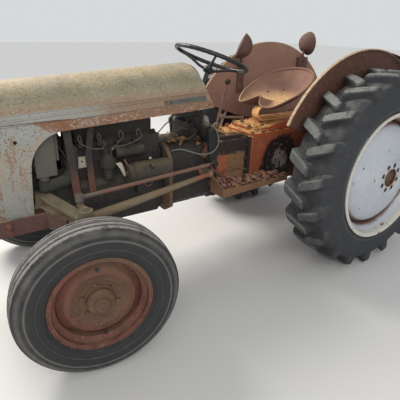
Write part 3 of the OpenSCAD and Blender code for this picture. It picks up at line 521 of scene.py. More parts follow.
    def plate(self, graph: Graph, marks: HoodMarks) -> bpy.types.NodeSocket:
        """Gives the colours of the nose's side: pale paint with stains, drips, a rusty corner and pits."""
        stained = graph.spread(marks.fine * 0.5 + marks.cloud * 0.5, self.stained)
        plate = graph.mix(graph.noise(8, 6, shift=17.0).rise(0.48, 0.60) * 0.7, marks.side, stained)
        corner = (graph.z - graph.x * 0.5 - 0.075 + marks.ragged * 0.5).rise(-0.01, 0.01)
        rusted = (marks.drips * 0.85).larger(corner * marks.flecks.rise(0.36, 0.46))
        plate = graph.mix(rusted, plate, marks.rust)
        pits = graph.noise(6, 5, shift=21.0)
        dots = graph.specks(95.0).rise(0.26, 0.16) * (pits + marks.tip * 0.05).rise(0.44, 0.52)
        dots = dots.larger(graph.specks(46.0, 3.0).rise(0.20, 0.12) * pits.rise(0.50, 0.58))
        return graph.mix(dots * 0.9, plate, shade(70, 50, 42))

    def dress(self, graph: Graph) -> None:
        """Joins the arch, the band and the nose along the hood's lines, and paints shade on the inside."""
        marks = self.marks(graph)
        bead, crease, seam = (self.over(graph, line) for line in (self.bead, self.crease, self.seam))
        nose = (graph.x + marks.ragged * 0.8).rise(*self.nose)
        below = graph.mix(seam.rise(0.001, -0.001) * nose, self.band(graph, marks), self.plate(graph, marks))
        paint = graph.mix(bead.rise(0.002, -0.002), self.arch(graph, marks), below)
        paint = graph.mix(graph.near(bead + 0.004, 0.0022) * 0.6, paint, shade(90, 70, 56))
        paint = graph.mix(graph.near(crease, 0.0026) * 0.5, paint, shade(86, 64, 52))
        paint = graph.mix(graph.near(seam, 0.0026) * graph.x.rise(1.74, 1.77), paint, shade(50, 42, 38))
        # Painted shade: the hood's inside faces take dark sooty shades.
        shaded_inside = (graph.face_y * graph.y + graph.up * (graph.z - 0.98)).rise(-0.002, -0.03)
        paint = graph.mix(shaded_inside, paint, graph.spread(marks.fine, self.soot_and_shade))
        rough = 0.62 + marks.stain * 0.15 + marks.fine * 0.12
        height = marks.fine * 0.7 + marks.blotch * 0.5 - marks.drips * 0.3
        graph.finish(paint, rough, height=height, depth=0.0010)


@dataclass(frozen=True)
class FenderRust(Weathered):
    """Pinkish brown rust inboard, purple-brown rust under painted shade on the tyre's side, and a bright
    bare rim with a painted highlight.
    """

    arc: Pair = (-0.06, 0.595)
    rim: Pair = (0.7190, 0.7215)
    tyre_side_shade: Shades = shades((58, 40, 40), (88, 60, 56), (112, 78, 68))
    tyre_low_shade: Shades = shades((66, 44, 38), (92, 62, 50), (116, 82, 64))
    # Shades of the rim: bare metal with a painted highlight.
    worn: Shades = shades((140, 108, 86), (190, 164, 136), (218, 200, 174))

    def colour(self, graph: Graph) -> bpy.types.NodeSocket:
        """Tells the sides apart by which way they face, paints shade on the tyre's side, and paints a
        highlight on the rim, brightest on the near fender.
        """
        inboard = super().colour(graph)
        radius = graph.distance(graph.x - self.arc[0], graph.z - self.arc[1])
        fine = graph.noise(60, 5, shift=2.0)
        golden = (radius + fine * 0.05).rise(0.655, 0.735) * graph.noise(6, 4, shift=4.0).rise(0.3, 0.6)
        inboard = graph.mix(golden * 0.35, inboard, shade(160, 134, 104))
        # Painted shade: the faces towards the tyre take darker purple-brown shades.
        shaded_outboard = graph.spread(self.value(graph), self.tyre_side_shade)
        low = (graph.x + graph.z * 0.55 - 0.62).rise(-0.25, 0.15)
        shaded_outboard = graph.mix(low, shaded_outboard, graph.spread(fine, self.tyre_low_shade))
        side = graph.y.size()
        outboard_shade_mask = (graph.face_y * graph.y).rise(0.05, 0.2) + (side - 0.4405).rise(0.0, 0.002)
        colour = graph.mix(outboard_shade_mask.smaller(1.0), inboard, shaded_outboard)
        # Painted highlight: the crown's top, where it faces up, turns a lighter pink-brown.
        top = graph.up.rise(0.1, 0.6) * radius.rise(0.7262, 0.7275)
        colour = graph.mix(top, colour, shade(146, 104, 86))
        # Painted highlight along the rim, over bare metal; strongest on the near fender.
        highlight_side = graph.y.rise(-0.2, 0.2) * 0.75 + 0.25
        rim = radius.rise(*self.rim) * side.rise(0.4562, 0.4545) * highlight_side
        return graph.mix(rim, colour, graph.spread(fine, self.worn))


@dataclass(frozen=True)
class SeatRust(Weathered):
    """Pinkish rust with a golden bottom of dust and painted sunlight, and a dark underside of painted shade.
    """

    sunlit_dust_height: Pair = (1.060, 1.000)
    sunlit_gold: Shades = shades((160, 116, 80), (198, 158, 112), (222, 194, 150))
    under: Shades = shades((74, 48, 40), (112, 74, 60), (136, 94, 76))

    def colour(self, graph: Graph) -> bpy.types.NodeSocket:
        """Places the golden dust and painted sunlight by the height over the ground, and paints shade
        underneath.
        """
        fine = graph.noise(55, 6, shift=2.0)
        # Painted sunlight with dust: the bowl's low upward faces turn golden.
        floor = graph.up.rise(0.72, 0.97) * (graph.z + fine * 0.02).rise(*self.sunlit_dust_height)
        bowl = graph.mix(floor, super().colour(graph), graph.spread(fine, self.sunlit_gold))
        # Painted shade: faces that look down take the darker shades.
        return graph.mix(graph.up.rise(0.1, -0.3), bowl, graph.spread(fine, self.under))


@dataclass(frozen=True)
class Housing(Finish):
    """Orange and red paint on the rear housing, black with grease round its covers."""

    cover: Pair = (0.325, 0.613)
    sump: Pair = (0.475, 0.425)
    flange: float = 0.572
    orange: Shades = shades((112, 60, 40), (150, 82, 52), (174, 108, 72))
    red: Shades = shades((76, 42, 34), (106, 58, 42), (132, 76, 54))

    def dress(self, graph: Graph) -> None:
        """Spreads the grease out from the cover and down the side."""
        cloud = graph.noise(6, 6)
        fine = graph.noise(48, 6, shift=4.0)
        blotch = graph.noise(19, 6, shift=8.0)
        radius = graph.distance(graph.x - self.cover[0], graph.z - self.cover[1])
        orange = graph.spread(blotch * 0.5 + fine * 0.5, self.orange)
        red = graph.spread(fine * 0.6 + cloud * 0.4, self.red)
        colour = graph.mix((graph.x + cloud * 0.12).rise(0.36, 0.20), orange, red)
        brown = graph.mix(fine, shade(62, 44, 34), shade(104, 74, 52))
        colour = graph.mix((blotch * 0.6 + cloud * 0.4).rise(0.55, 0.68) * 0.8, colour, brown)
        ring = (radius + (0.5 - blotch) * 0.11 + (0.5 - cloud) * 0.05).rise(0.180, 0.140)
        sump = (graph.z + (0.5 - blotch) * 0.08).rise(*self.sump)
        flange = graph.near(graph.x - self.flange, 0.006) * 0.5
        grease = ring.larger(sump).larger(flange)
        black = graph.mix(fine, shade(24, 21, 20), shade(48, 38, 34))
        colour = graph.mix(grease, colour, black)
        dust = graph.up.rise(0.6, 0.95) * blotch.rise(0.35, 0.6)
        colour = graph.mix(dust * 0.8, colour, shade(198, 142, 84))
        height = fine + blotch * 0.5 + grease * 0.6
        graph.finish(colour, 0.74 - grease * 0.28 + fine * 0.1, height=height, depth=0.0014)


@dataclass(frozen=True)
class StayRust(Weathered):
    """Rust that is darker above the hoses: oily and sooty, with painted shade."""

    shade_and_soot_height: Pair = (0.70, 0.80)
    soot_and_shade: Shades = shades((40, 36, 38), (60, 53, 54), (84, 74, 70))

    def colour(self, graph: Graph) -> bpy.types.NodeSocket:
        """Darkens the upper part with painted shade and sooty oil."""
        # Painted shade with sooty oil over the upper part.
        ragged = graph.z + (graph.noise(20, 6, shift=8.0) - 0.5) * 0.10
        soot_and_shade = graph.spread(graph.noise(60, 5, shift=4.0), self.soot_and_shade)
        return graph.mix(ragged.rise(*self.shade_and_soot_height), super().colour(graph), soot_and_shade)


@dataclass(frozen=True)
class GearCasing(Finish):
    """Gearbox and clutch housing: black grease above, one orange patch, brown dirt below, debris on top,
    painted shade on the clutch housing.
    """

    grease_foot: Pair = (0.715, 0.690)
    patch_rear: Pair = (0.748, 0.766)
    patch_top: Pair = (0.714, 0.700)
    patch_foot: Pair = (0.535, 0.560)
    clutch_rear: Pair = (0.846, 0.852)
    flange_front: Pair = (0.632, 0.618)
    collar_rear: Pair = (1.176, 1.182)
    heap: Pair = (0.95, 0.80)
    grease: Shades = shades((26, 23, 22), (46, 38, 34), (76, 64, 54))
    dirt: Shades = shades((84, 60, 44), (130, 96, 66), (160, 124, 84))
    orange: Shades = shades((122, 66, 46), (160, 92, 62), (182, 118, 84))
    clutch: Shades = shades((30, 28, 29), (48, 44, 44), (80, 70, 60))
    collar: Shades = shades((72, 56, 48), (106, 84, 68), (138, 110, 84))
    straw: Shades = shades((128, 88, 52), (184, 142, 92), (216, 186, 134))

    def dress(self, graph: Graph) -> None:
        """Places the patches by their distance ahead of the rear axle and their height."""
        cloud = graph.noise(7, 6)
        fine = graph.noise(52, 6, shift=4.0)
        blotch = graph.noise(21, 6, shift=8.0)
        ragged = (blotch - 0.5) * 0.11 + (fine - 0.5) * 0.05
        black = graph.spread(fine, self.grease)
        low = (graph.z + ragged).rise(*self.grease_foot)
        colour = graph.mix(low, black, graph.spread(fine * 0.5 + blotch * 0.5, self.dirt))
        patch = (graph.x + ragged * 0.7).rise(*self.patch_rear) * (graph.z + ragged).rise(*self.patch_top)
        patch = patch * (graph.z + ragged * 1.4).rise(*self.patch_foot)
        colour = graph.mix(patch, colour, graph.spread(fine, self.orange))
        # Painted shade: the clutch housing is painted nearly black.
        clutch = graph.spread(fine * 0.5 + cloud * 0.5, self.clutch)
        colour = graph.mix(graph.x.rise(*self.clutch_rear), colour, clutch)
        colour = graph.mix(graph.x.rise(*self.flange_front), colour, black)
        collar = graph.spread(fine * 0.6 + blotch * 0.4, self.collar)
        colour = graph.mix(graph.x.rise(*self.collar_rear), colour, collar)
        heaped = graph.x.rise(*self.heap) * 0.10 - (graph.y + ragged * 0.5).rise(0.02, 0.06) * 0.12
        drift = graph.up.rise(0.55, 0.9) * (blotch * 0.6 + fine * 0.4 + heaped).rise(0.49, 0.56)
        colour = graph.mix(drift, colour, graph.spread(fine * 0.7 + cloud * 0.3, self.straw))
        rough = 0.62 + low * 0.15 + drift * 0.2 + fine * 0.08
        graph.finish(colour, rough, height=fine + blotch * 0.8 + drift * 1.5, depth=0.0022)


@dataclass(frozen=True)
class LiftCoverPaint(Finish):
    """Red-orange paint under straw-coloured debris, with painted shade in dark hollows."""

    red: Shades = shades((112, 50, 30), (164, 80, 44), (196, 112, 66))
    straw: Shades = shades((150, 100, 58), (198, 150, 94), (222, 186, 132))

    def dress(self, graph: Graph) -> None:
        """Lays the debris on faces that look up, and paints shade into small dents."""
        fine = graph.noise(50, 6, shift=4.0)
        blotch = graph.noise(20, 6, shift=8.0)
        red = graph.spread(fine * 0.5 + blotch * 0.5, self.red)
        straw = graph.spread(fine * 0.6 + blotch * 0.4, self.straw)
        level = graph.up.rise(0.5, 0.9)
        drift = level * (blotch * 0.5 + fine * 0.5 + graph.x.rise(0.30, 0.50) * 0.12).rise(0.42, 0.56)
        colour = graph.mix(drift, red, straw)
        # Painted shade: small dents in the debris are darkened.
        dent_spots = (graph.specks(21.0) + (fine - 0.5) * 0.25).rise(0.20, 0.12)
        hollow_shade = dent_spots * level * graph.x.rise(0.26, 0.36)
        colour = graph.mix(hollow_shade, colour, shade(40, 28, 22))
        graph.finish(colour, 0.78, height=fine + blotch - hollow_shade * 1.5, depth=0.0022)


@dataclass(frozen=True)
class Straw(Finish):
    """Straw and leaf crumbs, with painted shade in the dark hollows."""

    straw: Shades = shades((130, 84, 46), (196, 148, 90), (232, 198, 140))

    def dress(self, graph: Graph) -> None:
        """Paints shade into the hollows between the heaps."""
        fine = graph.noise(70, 6, shift=4.0)
        blotch = graph.noise(24, 6, shift=8.0)
        straw = graph.spread(fine * 0.7 + blotch * 0.3, self.straw)
        # Painted shade: low places between the heaps are darkened.
        hollow_shade = (blotch * 0.5 + fine * 0.5).rise(0.47, 0.40)
        colour = graph.mix(hollow_shade, straw, shade(44, 32, 25))
        graph.finish(colour, 0.85, height=fine * 1.4 + blotch, depth=0.003)


@dataclass(frozen=True)
class Grease(Finish):
    """Wet black grease over iron, with painted highlights on the wet grease in its middle."""

    centre: Pair = (0.34, 0.625)
    black: Shades = shades((20, 18, 18), (38, 33, 32), (64, 56, 52))

    def dress(self, graph: Graph) -> None:
        """Makes the grease lumpy and glossy."""
        fine = graph.noise(60, 6, shift=4.0)
        lump = graph.noise(24, 5, shift=8.0)
        radius = graph.distance(graph.x - self.centre[0], graph.z - self.centre[1])
        # Painted highlight: pale glints on the wet grease, most near the cover's middle.
        pale = (lump * 0.6 + fine * 0.4 + radius.rise(0.10, 0.02) * 0.16).rise(0.56, 0.64)
        colour = graph.mix(pale * 0.7, graph.spread(fine, self.black), shade(158, 148, 144))
        graph.finish(colour, 0.34 + fine * 0.25, height=lump + fine * 0.6, depth=0.0028, coat=0.25)


@dataclass(frozen=True)
class DiscPaint(Finish):
    """Pale, cool grey paint with few chips, a cream rim, and rust in the well and at the open centre."""

    well: tuple[Pair, Pair] = ((0.292, 0.316), (0.360, 0.346))
    seam: Pair = (0.712, 0.690)
    flange: Pair = (0.364, 0.368)
    opening: Pair = (0.060, 0.055)
    bolt_circle: float = 0.077
    inboard: float = 0.632
    white: Shades = shades((158, 164, 174), (184, 190, 198), (206, 209, 212))
    rust: Shades = shades((84, 48, 34), (132, 80, 52), (168, 116, 80))
    dirt: Shades = shades((58, 44, 38), (104, 74, 54), (140, 104, 76))
    cream: Shades = shades((172, 164, 150), (206, 203, 195), (226, 226, 222))

    def dress(self, graph: Graph) -> None:
        """Places everything by the distance from the axle."""
        radius = graph.distance(graph.x, graph.z - REAR_RADIUS)
        cloud = graph.noise(5, 6)
        fine = graph.noise(60, 6, shift=4.0)
        chip_noise = graph.noise(24, 9, shift=9.0)
        white = graph.spread(cloud * 0.6 + fine * 0.4, self.white)
        dirt = graph.spread(fine, self.dirt)
        chip = chip_noise.rise(0.675, 0.690)
        halo = chip_noise.rise(0.63, 0.69) * 0.4
        colour = graph.mix(halo, white, shade(196, 168, 136))
        colour = graph.mix(chip, colour, shade(62, 44, 38))
        edge = radius + (fine - 0.5) * 0.014 + (cloud - 0.5) * 0.02
        seam = (graph.y.size() + (cloud - 0.5) * 0.04).rise(*self.seam)
        ring = edge.rise(*self.well[0]) * edge.rise(*self.well[1]) * seam
        colour = graph.mix(ring * 0.95, colour, dirt)
        cream = graph.spread(fine * 0.6 + cloud * 0.4, self.cream)
        cream = graph.mix(chip_noise.rise(0.60, 0.66), cream, dirt)
        colour = graph.mix(radius.rise(*self.flange), colour, cream)
        centre = (radius + (fine - 0.5) * 0.010).rise(*self.opening)
        colour = graph.mix(centre, colour, graph.spread(fine, self.rust))
        smear = graph.near(radius - self.bolt_circle, 0.026) * (cloud * 0.4 + fine * 0.6).rise(0.50, 0.62)
        colour = graph.mix(smear * 0.6, colour, shade(150, 120, 96))
        back = (graph.y.size() - self.inboard).rise(0.0, -0.008) * radius.rise(0.33, 0.32)
        colour = graph.mix(back, colour, dirt)
        rough = 0.42 + chip * 0.4 + ring * 0.4 + centre * 0.4
        graph.finish(colour, rough, height=fine * 0.5 - chip - ring * 0.3, depth=0.0007)


@dataclass(frozen=True)
class Rubber(Finish):
    """Dusty slate rubber, paler on the crests that meet the ground and more so where they face up as painted
    highlight, and brown with soil in the grooves.
    """

    height: float = REAR_RADIUS
    crest: Pair = (0.592, 0.606)
    body: Shades = shades((36, 38, 41), (54, 57, 61), (76, 79, 84))
    dust: Colour = shade(126, 126, 122)

    def ahead(self, graph: Graph) -> Signal:
        """Gives how far ahead of the axle a point lies."""
        return graph.x

    def rings(self, graph: Graph, radius: Signal) -> Signal:
        """Gives the dust on the rings moulded in the sidewall, at most 1."""
        return graph.near(radius - 0.418, 0.006) * 0.25

    def dress(self, graph: Graph) -> None:
        """Dusts the crests by their distance from the axle's line, brighter where they face up as painted
        highlight.
        """
        radius = graph.distance(self.ahead(graph), graph.z - self.height)
        cloud = graph.noise(6, 6)
        fine = graph.noise(85, 6, shift=6.0)
        blotch = graph.noise(22, 6, shift=8.0)
        body = graph.spread(cloud * 0.35 + fine * 0.35 + blotch * 0.3, self.body)
        # Painted highlight: the worn crests are paler where they face up.
        lit = graph.up.rise(-0.2, 0.7) * 0.65 + 0.35
        crests = (radius + (fine - 0.5) * 0.008).rise(*self.crest)
        worn = crests * (blotch * 0.6 + fine * 0.4).rise(0.28, 0.55) * lit
        colour = graph.mix(worn * 0.85, body, self.dust)
        below = self.crest[0] - radius
        soil = below.rise(0.0, 0.02) * below.rise(0.065, 0.03)
        colour = graph.mix(soil * blotch.rise(0.4, 0.6) * 0.30, colour, shade(84, 78, 70))
        settled = graph.up.rise(0.4, 0.9) * blotch.rise(0.35, 0.65) * 0.35
        colour = graph.mix(settled, colour, self.dust)
        colour = graph.mix(self.rings(graph, radius), colour, self.dust)
        cracks = graph.specks(130.0).rise(0.42, 0.5) * 0.2
        graph.finish(colour, 0.80 + fine * 0.1, height=fine + blotch * 0.4 - cracks, depth=0.0010)


@dataclass(frozen=True)
class FrontRubber(Rubber):
    """A front tyre's rubber: pale ribs, dark grooves, and rings on the sidewall."""

    height: float = FRONT_RADIUS
    crest: Pair = (0.3465, 0.3505)
    body: Shades = shades((30, 31, 32), (46, 47, 48), (70, 71, 72))
    dust: Colour = shade(150, 146, 142)

    def ahead(self, graph: Graph) -> Signal:
        """Allows for the angle at which the parked wheels are steered."""
        return ahead_of_front_axle(graph)

    def rings(self, graph: Graph, radius: Signal) -> Signal:
        """Dusts two of the rings and the shoulder."""
        rings = graph.near(radius - 0.302, 0.007) * 0.4 + graph.near(radius - 0.262, 0.003) * 0.15
        return rings + graph.near(radius - 0.330, 0.016) * graph.noise(12, 5, shift=3.0) * 0.5


@dataclass(frozen=True)
class RimRust(Weathered):
    """Rusted red paint, olive with dirt in the middle and at the top, with dark pits and pale worn spots."""

    olive: Shades = shades((62, 50, 38), (96, 78, 58), (126, 106, 82))

    def colour(self, graph: Graph) -> bpy.types.NodeSocket:
        """Places the dirt by the distance from the axle and the height over it."""
        blotch = graph.noise(30, 7, shift=4.0)
        colour = graph.mix(blotch.rise(0.50, 0.62) * 0.7, super().colour(graph), shade(84, 56, 44))
        ahead = ahead_of_front_axle(graph)
        up = graph.z - FRONT_RADIUS
        radius = graph.distance(ahead, up) + (graph.noise(20, 5, shift=14.0) - 0.5) * 0.09
        olive = graph.spread(self.value(graph), self.olive)
        centre = radius.rise(0.165, 0.085) * 0.75
        colour = graph.mix(centre.larger((up - ahead * 0.5).rise(0.08, 0.22) * 0.75), colour, olive)
        low = (graph.noise(9, 5, shift=17.0) - up * 0.8).rise(0.40, 0.56)
        pits = graph.noise(120, 4, shift=16.0).rise(0.57, 0.63) * low
        colour = graph.mix(pits * 0.8, colour, shade(48, 32, 28))
        pale = graph.noise(44, 7, shift=9.0).rise(0.62, 0.70)
        return graph.mix(pale * 0.4, colour, shade(160, 128, 112))


@dataclass(frozen=True)
class TwoEnds(Weathered):
    """A bar whose shades change to others beyond a place along it, with a rear tip of a third colour."""

    other: Shades = shades((110, 64, 48), (142, 86, 64), (164, 110, 84))
    change: Pair = (1.12, 1.02)
    tip: Pair = (0.985, 0.972)
    tip_colour: Colour = shade(112, 108, 98)

    def colour(self, graph: Graph) -> bpy.types.NodeSocket:
        """Mixes the two sets of shades along the bar, and a third colour at its rear end."""
        ragged = graph.x + (graph.noise(24, 5, shift=8.0) - 0.5) * 0.08
        other = graph.spread(self.value(graph), self.other)
        colour = graph.mix(ragged.rise(*self.change), super().colour(graph), other)
        return graph.mix(graph.x.rise(*self.tip), colour, self.tip_colour)


@dataclass(frozen=True)
class Plain(Finish):
    """One colour with a fine grain, for small or dark things."""

    colour: Colour = (0.05, 0.05, 0.05)
    rough: float = 0.5
    metal: float = 0.0
    dust: float = 0.25

    def dress(self, graph: Graph) -> None:
        """Varies the colour by a grain and dusts what faces up."""
        grain = graph.noise(70, 6)
        cloud = graph.noise(13, 5, shift=5.0)
        darker = tuple(0.5 * part for part in self.colour)
        lighter = tuple(min(1.0, 1.5 * part) for part in self.colour)
        colour = graph.spread(grain * 0.6 + cloud * 0.4, (darker, self.colour, lighter))
        settled = graph.up.rise(0.4, 0.95) * cloud.rise(0.35, 0.6) * self.dust
        colour = graph.mix(settled, colour, shade(134, 122, 98))
        graph.finish(colour, self.rough + grain * 0.2 - 0.1, self.metal, grain + cloud * 0.5, 0.0008)


@dataclass(frozen=True)
class Levers(Weathered):
    """Rusty rods, the highest of which carries a black knob."""

    knob_foot: Pair = (1.094, 1.098)

    def colour(self, graph: Graph) -> bpy.types.NodeSocket:
        """Blackens whatever stands over the knob's foot."""
        knob = graph.z.rise(*self.knob_foot) * 0.85
        return graph.mix(knob, super().colour(graph), shade(40, 34, 32))


class Shop(Enum):
    """The finishes of this tractor."""

    HOOD = HoodPaint("hood_paint")
    BADGE = Chipped("badge_blank", shade(66, 70, 68), shade(90, 95, 92), shade(116, 120, 114), chips=0.60)
    SLATS = Chipped(
        "slat_cream", shade(176, 156, 116), shade(206, 188, 148), shade(226, 212, 178), chips=0.62
    )
    FENDER = FenderRust(
        "fender_rust", shade(116, 86, 76), shade(150, 114, 100), shade(176, 140, 122), scale=5.0
    )
    SEAT = SeatRust(
        "seat_rust", shade(104, 74, 64), shade(138, 104, 90), shade(166, 130, 112), scale=11.0, dusty=0.1
    )
    LAMP = Weathered("lamp_rust", shade(68, 48, 45), shade(98, 72, 66), shade(126, 98, 88), dusty=0.2)
    DISC = DiscPaint("disc_pale")
    RIM = RimRust("rim_red", shade(76, 46, 40), shade(110, 68, 58), shade(136, 92, 80), scale=13.0)
    REAR_RUBBER = Rubber("rear_rubber")
    FRONT_RUBBER = FrontRubber("front_rubber")
    HOUSING = Housing("housing_orange")
    GEARS = GearCasing("gear_casing")
    LIFT = LiftCoverPaint("lift_orange")
    GREASE = Grease("wet_grease")
    IRON = Weathered(
        "engine_iron", shade(28, 27, 27), shade(46, 43, 40), shade(78, 72, 62), dusty=0.5, rough=0.66
    )
    TRUMPET = Weathered("trumpet_iron", shade(42, 30, 26), shade(74, 50, 40), shade(108, 72, 54))
    RUST = Weathered("bar_rust")
    STAY = StayRust("stay_rust", shade(76, 50, 44), shade(106, 72, 62), shade(130, 94, 80), dusty=0.1)
    LINK = TwoEnds(
        "link_rust", shade(92, 64, 56), shade(124, 90, 80), shade(150, 118, 104), change=(1.66, 1.69),
        other=shades((76, 72, 64), (104, 98, 88), (136, 130, 116)), tip_colour=shade(44, 41, 40),
    )
    ROD = TwoEnds(
        "radius_olive", shade(90, 78, 62), shade(124, 108, 86), shade(152, 136, 112), tip=(0.972, 0.962),
        tip_colour=shade(122, 114, 96),
    )
    BEAM = Weathered(
        "beam_olive", shade(92, 82, 66), shade(128, 116, 94), shade(158, 146, 120), shade(170, 156, 126),
        0.5, 14.0
    )
    KNUCKLE = Weathered(
        "knuckle_iron", shade(74, 66, 56), shade(108, 98, 82), shade(144, 134, 116), dusty=0.5
    )
    BLACK_IRON = Weathered(
        "black_iron", shade(24, 23, 24), shade(38, 36, 37), shade(60, 56, 52), dusty=0.25, rough=0.6
    )
    BUMPER = Weathered(
        "bumper_purple", shade(66, 46, 42), shade(94, 68, 61), shade(122, 94, 84), shade(170, 144, 120), 0.5
    )
    STEP = Weathered(
        "step_orange", shade(92, 62, 46), shade(122, 86, 64), shade(150, 114, 88), shade(160, 136, 112), 0.5
    )
    LEVER = Levers("lever_rust", shade(78, 56, 48), shade(118, 88, 76), shade(164, 134, 116), scale=60.0)
    STEEL = Plain("worn_steel", shade(120, 112, 106), 0.5, 0.4)
    HOSE = Plain("hose_grey", shade(56, 57, 52), 0.8)
    WIRE = Plain("wire_grey", shade(76, 70, 62), 0.7)
    CABLE = Plain("cable_grey", shade(110, 112, 108), 0.6)
    BLACK = Plain("black_moulding", shade(34, 39, 41), 0.40, dust=0.12)
    # Painted shade: the ignition, starter and radiator shades are set darker, as the engine lies in shade.
    IGNITION = Weathered(
        "ignition_grey", shade(30, 29, 26), shade(53, 51, 44), shade(90, 86, 70), dusty=0.4, scale=20.0
    )
    STARTER = Weathered(
        "starter_grey", shade(40, 37, 33), shade(70, 65, 56), shade(106, 98, 82), dusty=0.3, scale=16.0
    )
    RADIATOR = Weathered(
        "radiator_grey", shade(72, 70, 64), shade(98, 96, 88), shade(122, 118, 108), dusty=0.2
    )
    # Painted sunlight: the strap's tan shades are set brighter and more golden.
    STRAP = Weathered(
        "strap_tan", shade(178, 124, 76), shade(218, 166, 110), shade(238, 198, 148), shade(232, 184, 124),
        0.2, 14.0
    )
    BOLT = Weathered(
        "bolt_rust", shade(70, 46, 38), shade(110, 74, 56), shade(150, 112, 84), scale=60.0, dusty=0.3
    )
    DARK_BOLT = Weathered(
        "bolt_dark", shade(34, 30, 28), shade(58, 50, 44), shade(92, 80, 66), scale=60.0, dusty=0.4
    )
    PLATE = Weathered(
        "pale_plate", shade(156, 146, 130), shade(190, 180, 162), shade(214, 206, 190), scale=30.0,
        dusty=0.1
    )
    HUB = Weathered(
        "hub_brown", shade(64, 46, 38), shade(100, 74, 58), shade(134, 104, 82), scale=22.0, dusty=0.2
    )
    DARK = Plain("hole_dark", shade(22, 18, 17), 0.9, dust=0.0)
    STRAW = Straw("straw_heap")
    LEAF = Weathered(
        "dead_leaf", shade(92, 60, 52), shade(142, 102, 90), shade(192, 158, 142), scale=30.0, dusty=0.1
    )
    LEAF_GOLD = Weathered(
        "golden_leaf", shade(132, 84, 52), shade(182, 134, 86), shade(216, 180, 132), scale=40.0, dusty=0.1
    )


SLOTS: dict[str, tuple[Shop, ...]] = {
    "hood_paint": (Shop.HOOD, Shop.BADGE, Shop.PLATE),
    "fender_rust": (Shop.SEAT,),
    "disc_paint": (Shop.DISC,),
    "rim_rust": (Shop.HUB,),
    "tyre_rubber": (Shop.REAR_RUBBER, Shop.FRONT_RUBBER),
    "hose_rubber": (Shop.WIRE,),
    "black_plastic": (Shop.BLACK,),
    "rust_iron": (Shop.BOLT, Shop.LEVER, Shop.KNUCKLE),
    "dark_iron": (Shop.DARK, Shop.DARK_BOLT),
}
COATS: dict[Shop, tuple[str, ...]] = {
    Shop.HOOD: ("hood",),
    Shop.SLATS: ("grille",),
    Shop.FENDER: ("fenders",),
    Shop.SEAT: ("seat",),
    Shop.LAMP: ("lamps",),
    Shop.DISC: ("rear_wheel_left", "rear_wheel_right"),
    Shop.RIM: ("front_wheel_left", "front_wheel_right"),
    Shop.REAR_RUBBER: ("rear_tyre_left", "rear_tyre_right"),
    Shop.FRONT_RUBBER: ("front_tyre_left", "front_tyre_right"),
    Shop.HOUSING: ("rear_housing",),
    Shop.GEARS: ("gearbox",),
    Shop.LIFT: ("lift_cover",),
    Shop.GREASE: ("side_covers",),
    Shop.IRON: ("engine_block", "cylinder_head", "fuel_tank", "fan", "front_support", "dash_panel"),
    Shop.TRUMPET: ("axle_housings",),
    Shop.RUST: (
        "manifold", "exhaust_pipe", "pedals", "lift_arms", "lower_link_left", "lower_link_right",
        "lift_rod_left", "lift_rod_right",
    ),
    Shop.STAY: ("braces",),
    Shop.LINK: ("drag_link_left", "drag_link_right"),
    Shop.ROD: ("radius_rods",),
    Shop.BEAM: ("front_axle",),
    Shop.KNUCKLE: ("spindle_left", "spindle_right"),
    Shop.BLACK_IRON: ("steering_box", "drop_arm_left", "drop_arm_right"),
    Shop.BUMPER: ("bumper",),
    Shop.STEP: ("footrests",),
    Shop.LEVER: ("levers",),
    Shop.STEEL: ("pto_shaft",),
    Shop.HOSE: ("hoses",),
    Shop.WIRE: ("leads",),
    Shop.CABLE: ("cable",),
    Shop.BLACK: ("steering_wheel",),
    Shop.IGNITION: ("ignition",),
    Shop.STARTER: ("starter_motor",),
    Shop.RADIATOR: ("radiator",),
    Shop.STRAP: ("seat_spring",),
}


def coat_nodes() -> None:
    """Gives every node of the frame its finish."""
    for choice, nodes in COATS.items():
        for node in nodes:
            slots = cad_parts[node].data.materials
            slots.clear()
            slots.append(choice.value.material())
    bare = set(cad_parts) - {node for nodes in COATS.values() for node in nodes}
    if bare:
        raise ValueError(f"nodes without a finish: {sorted(bare)}")


# Mesh building


Point = Union[Vector, Sequence[float]]


def frame_of(along: Point) -> tuple[Vector, Vector, Vector]:
    """Gives three unit vectors at right angles, the third of them along the given direction."""
    third = Vector(along).normalized()
    helper = Vector((0, 0, 1)) if abs(third.z) < 0.9 else Vector((1, 0, 0))
    first = helper.cross(third).normalized()
    return first, third.cross(first), third


def smoothed(points: Sequence[Point], steps: int = 5) -> list[Vector]:
    """Rounds a route through its points.

    Args:
        points: The points that the route passes, in metres.
        steps: New points to each stretch.

    Returns:
        The finer route.
    """
    route = [Vector(point) for point in points]
    last = len(route) - 1
    fine = []
    for place in range(last):
        before, start = route[max(place - 1, 0)], route[place]
        end, after = route[place + 1], route[min(place + 2, last)]
        for step in range(steps):
            share = step / steps
            slope = (end - before) * share
            bend = (2 * before - 5 * start + 4 * end - after) * share ** 2
            twist = (3 * start - before - 3 * end + after) * share ** 3
            fine.append(0.5 * (2 * start + slope + bend + twist))
    fine.append(route[-1])
    return fine


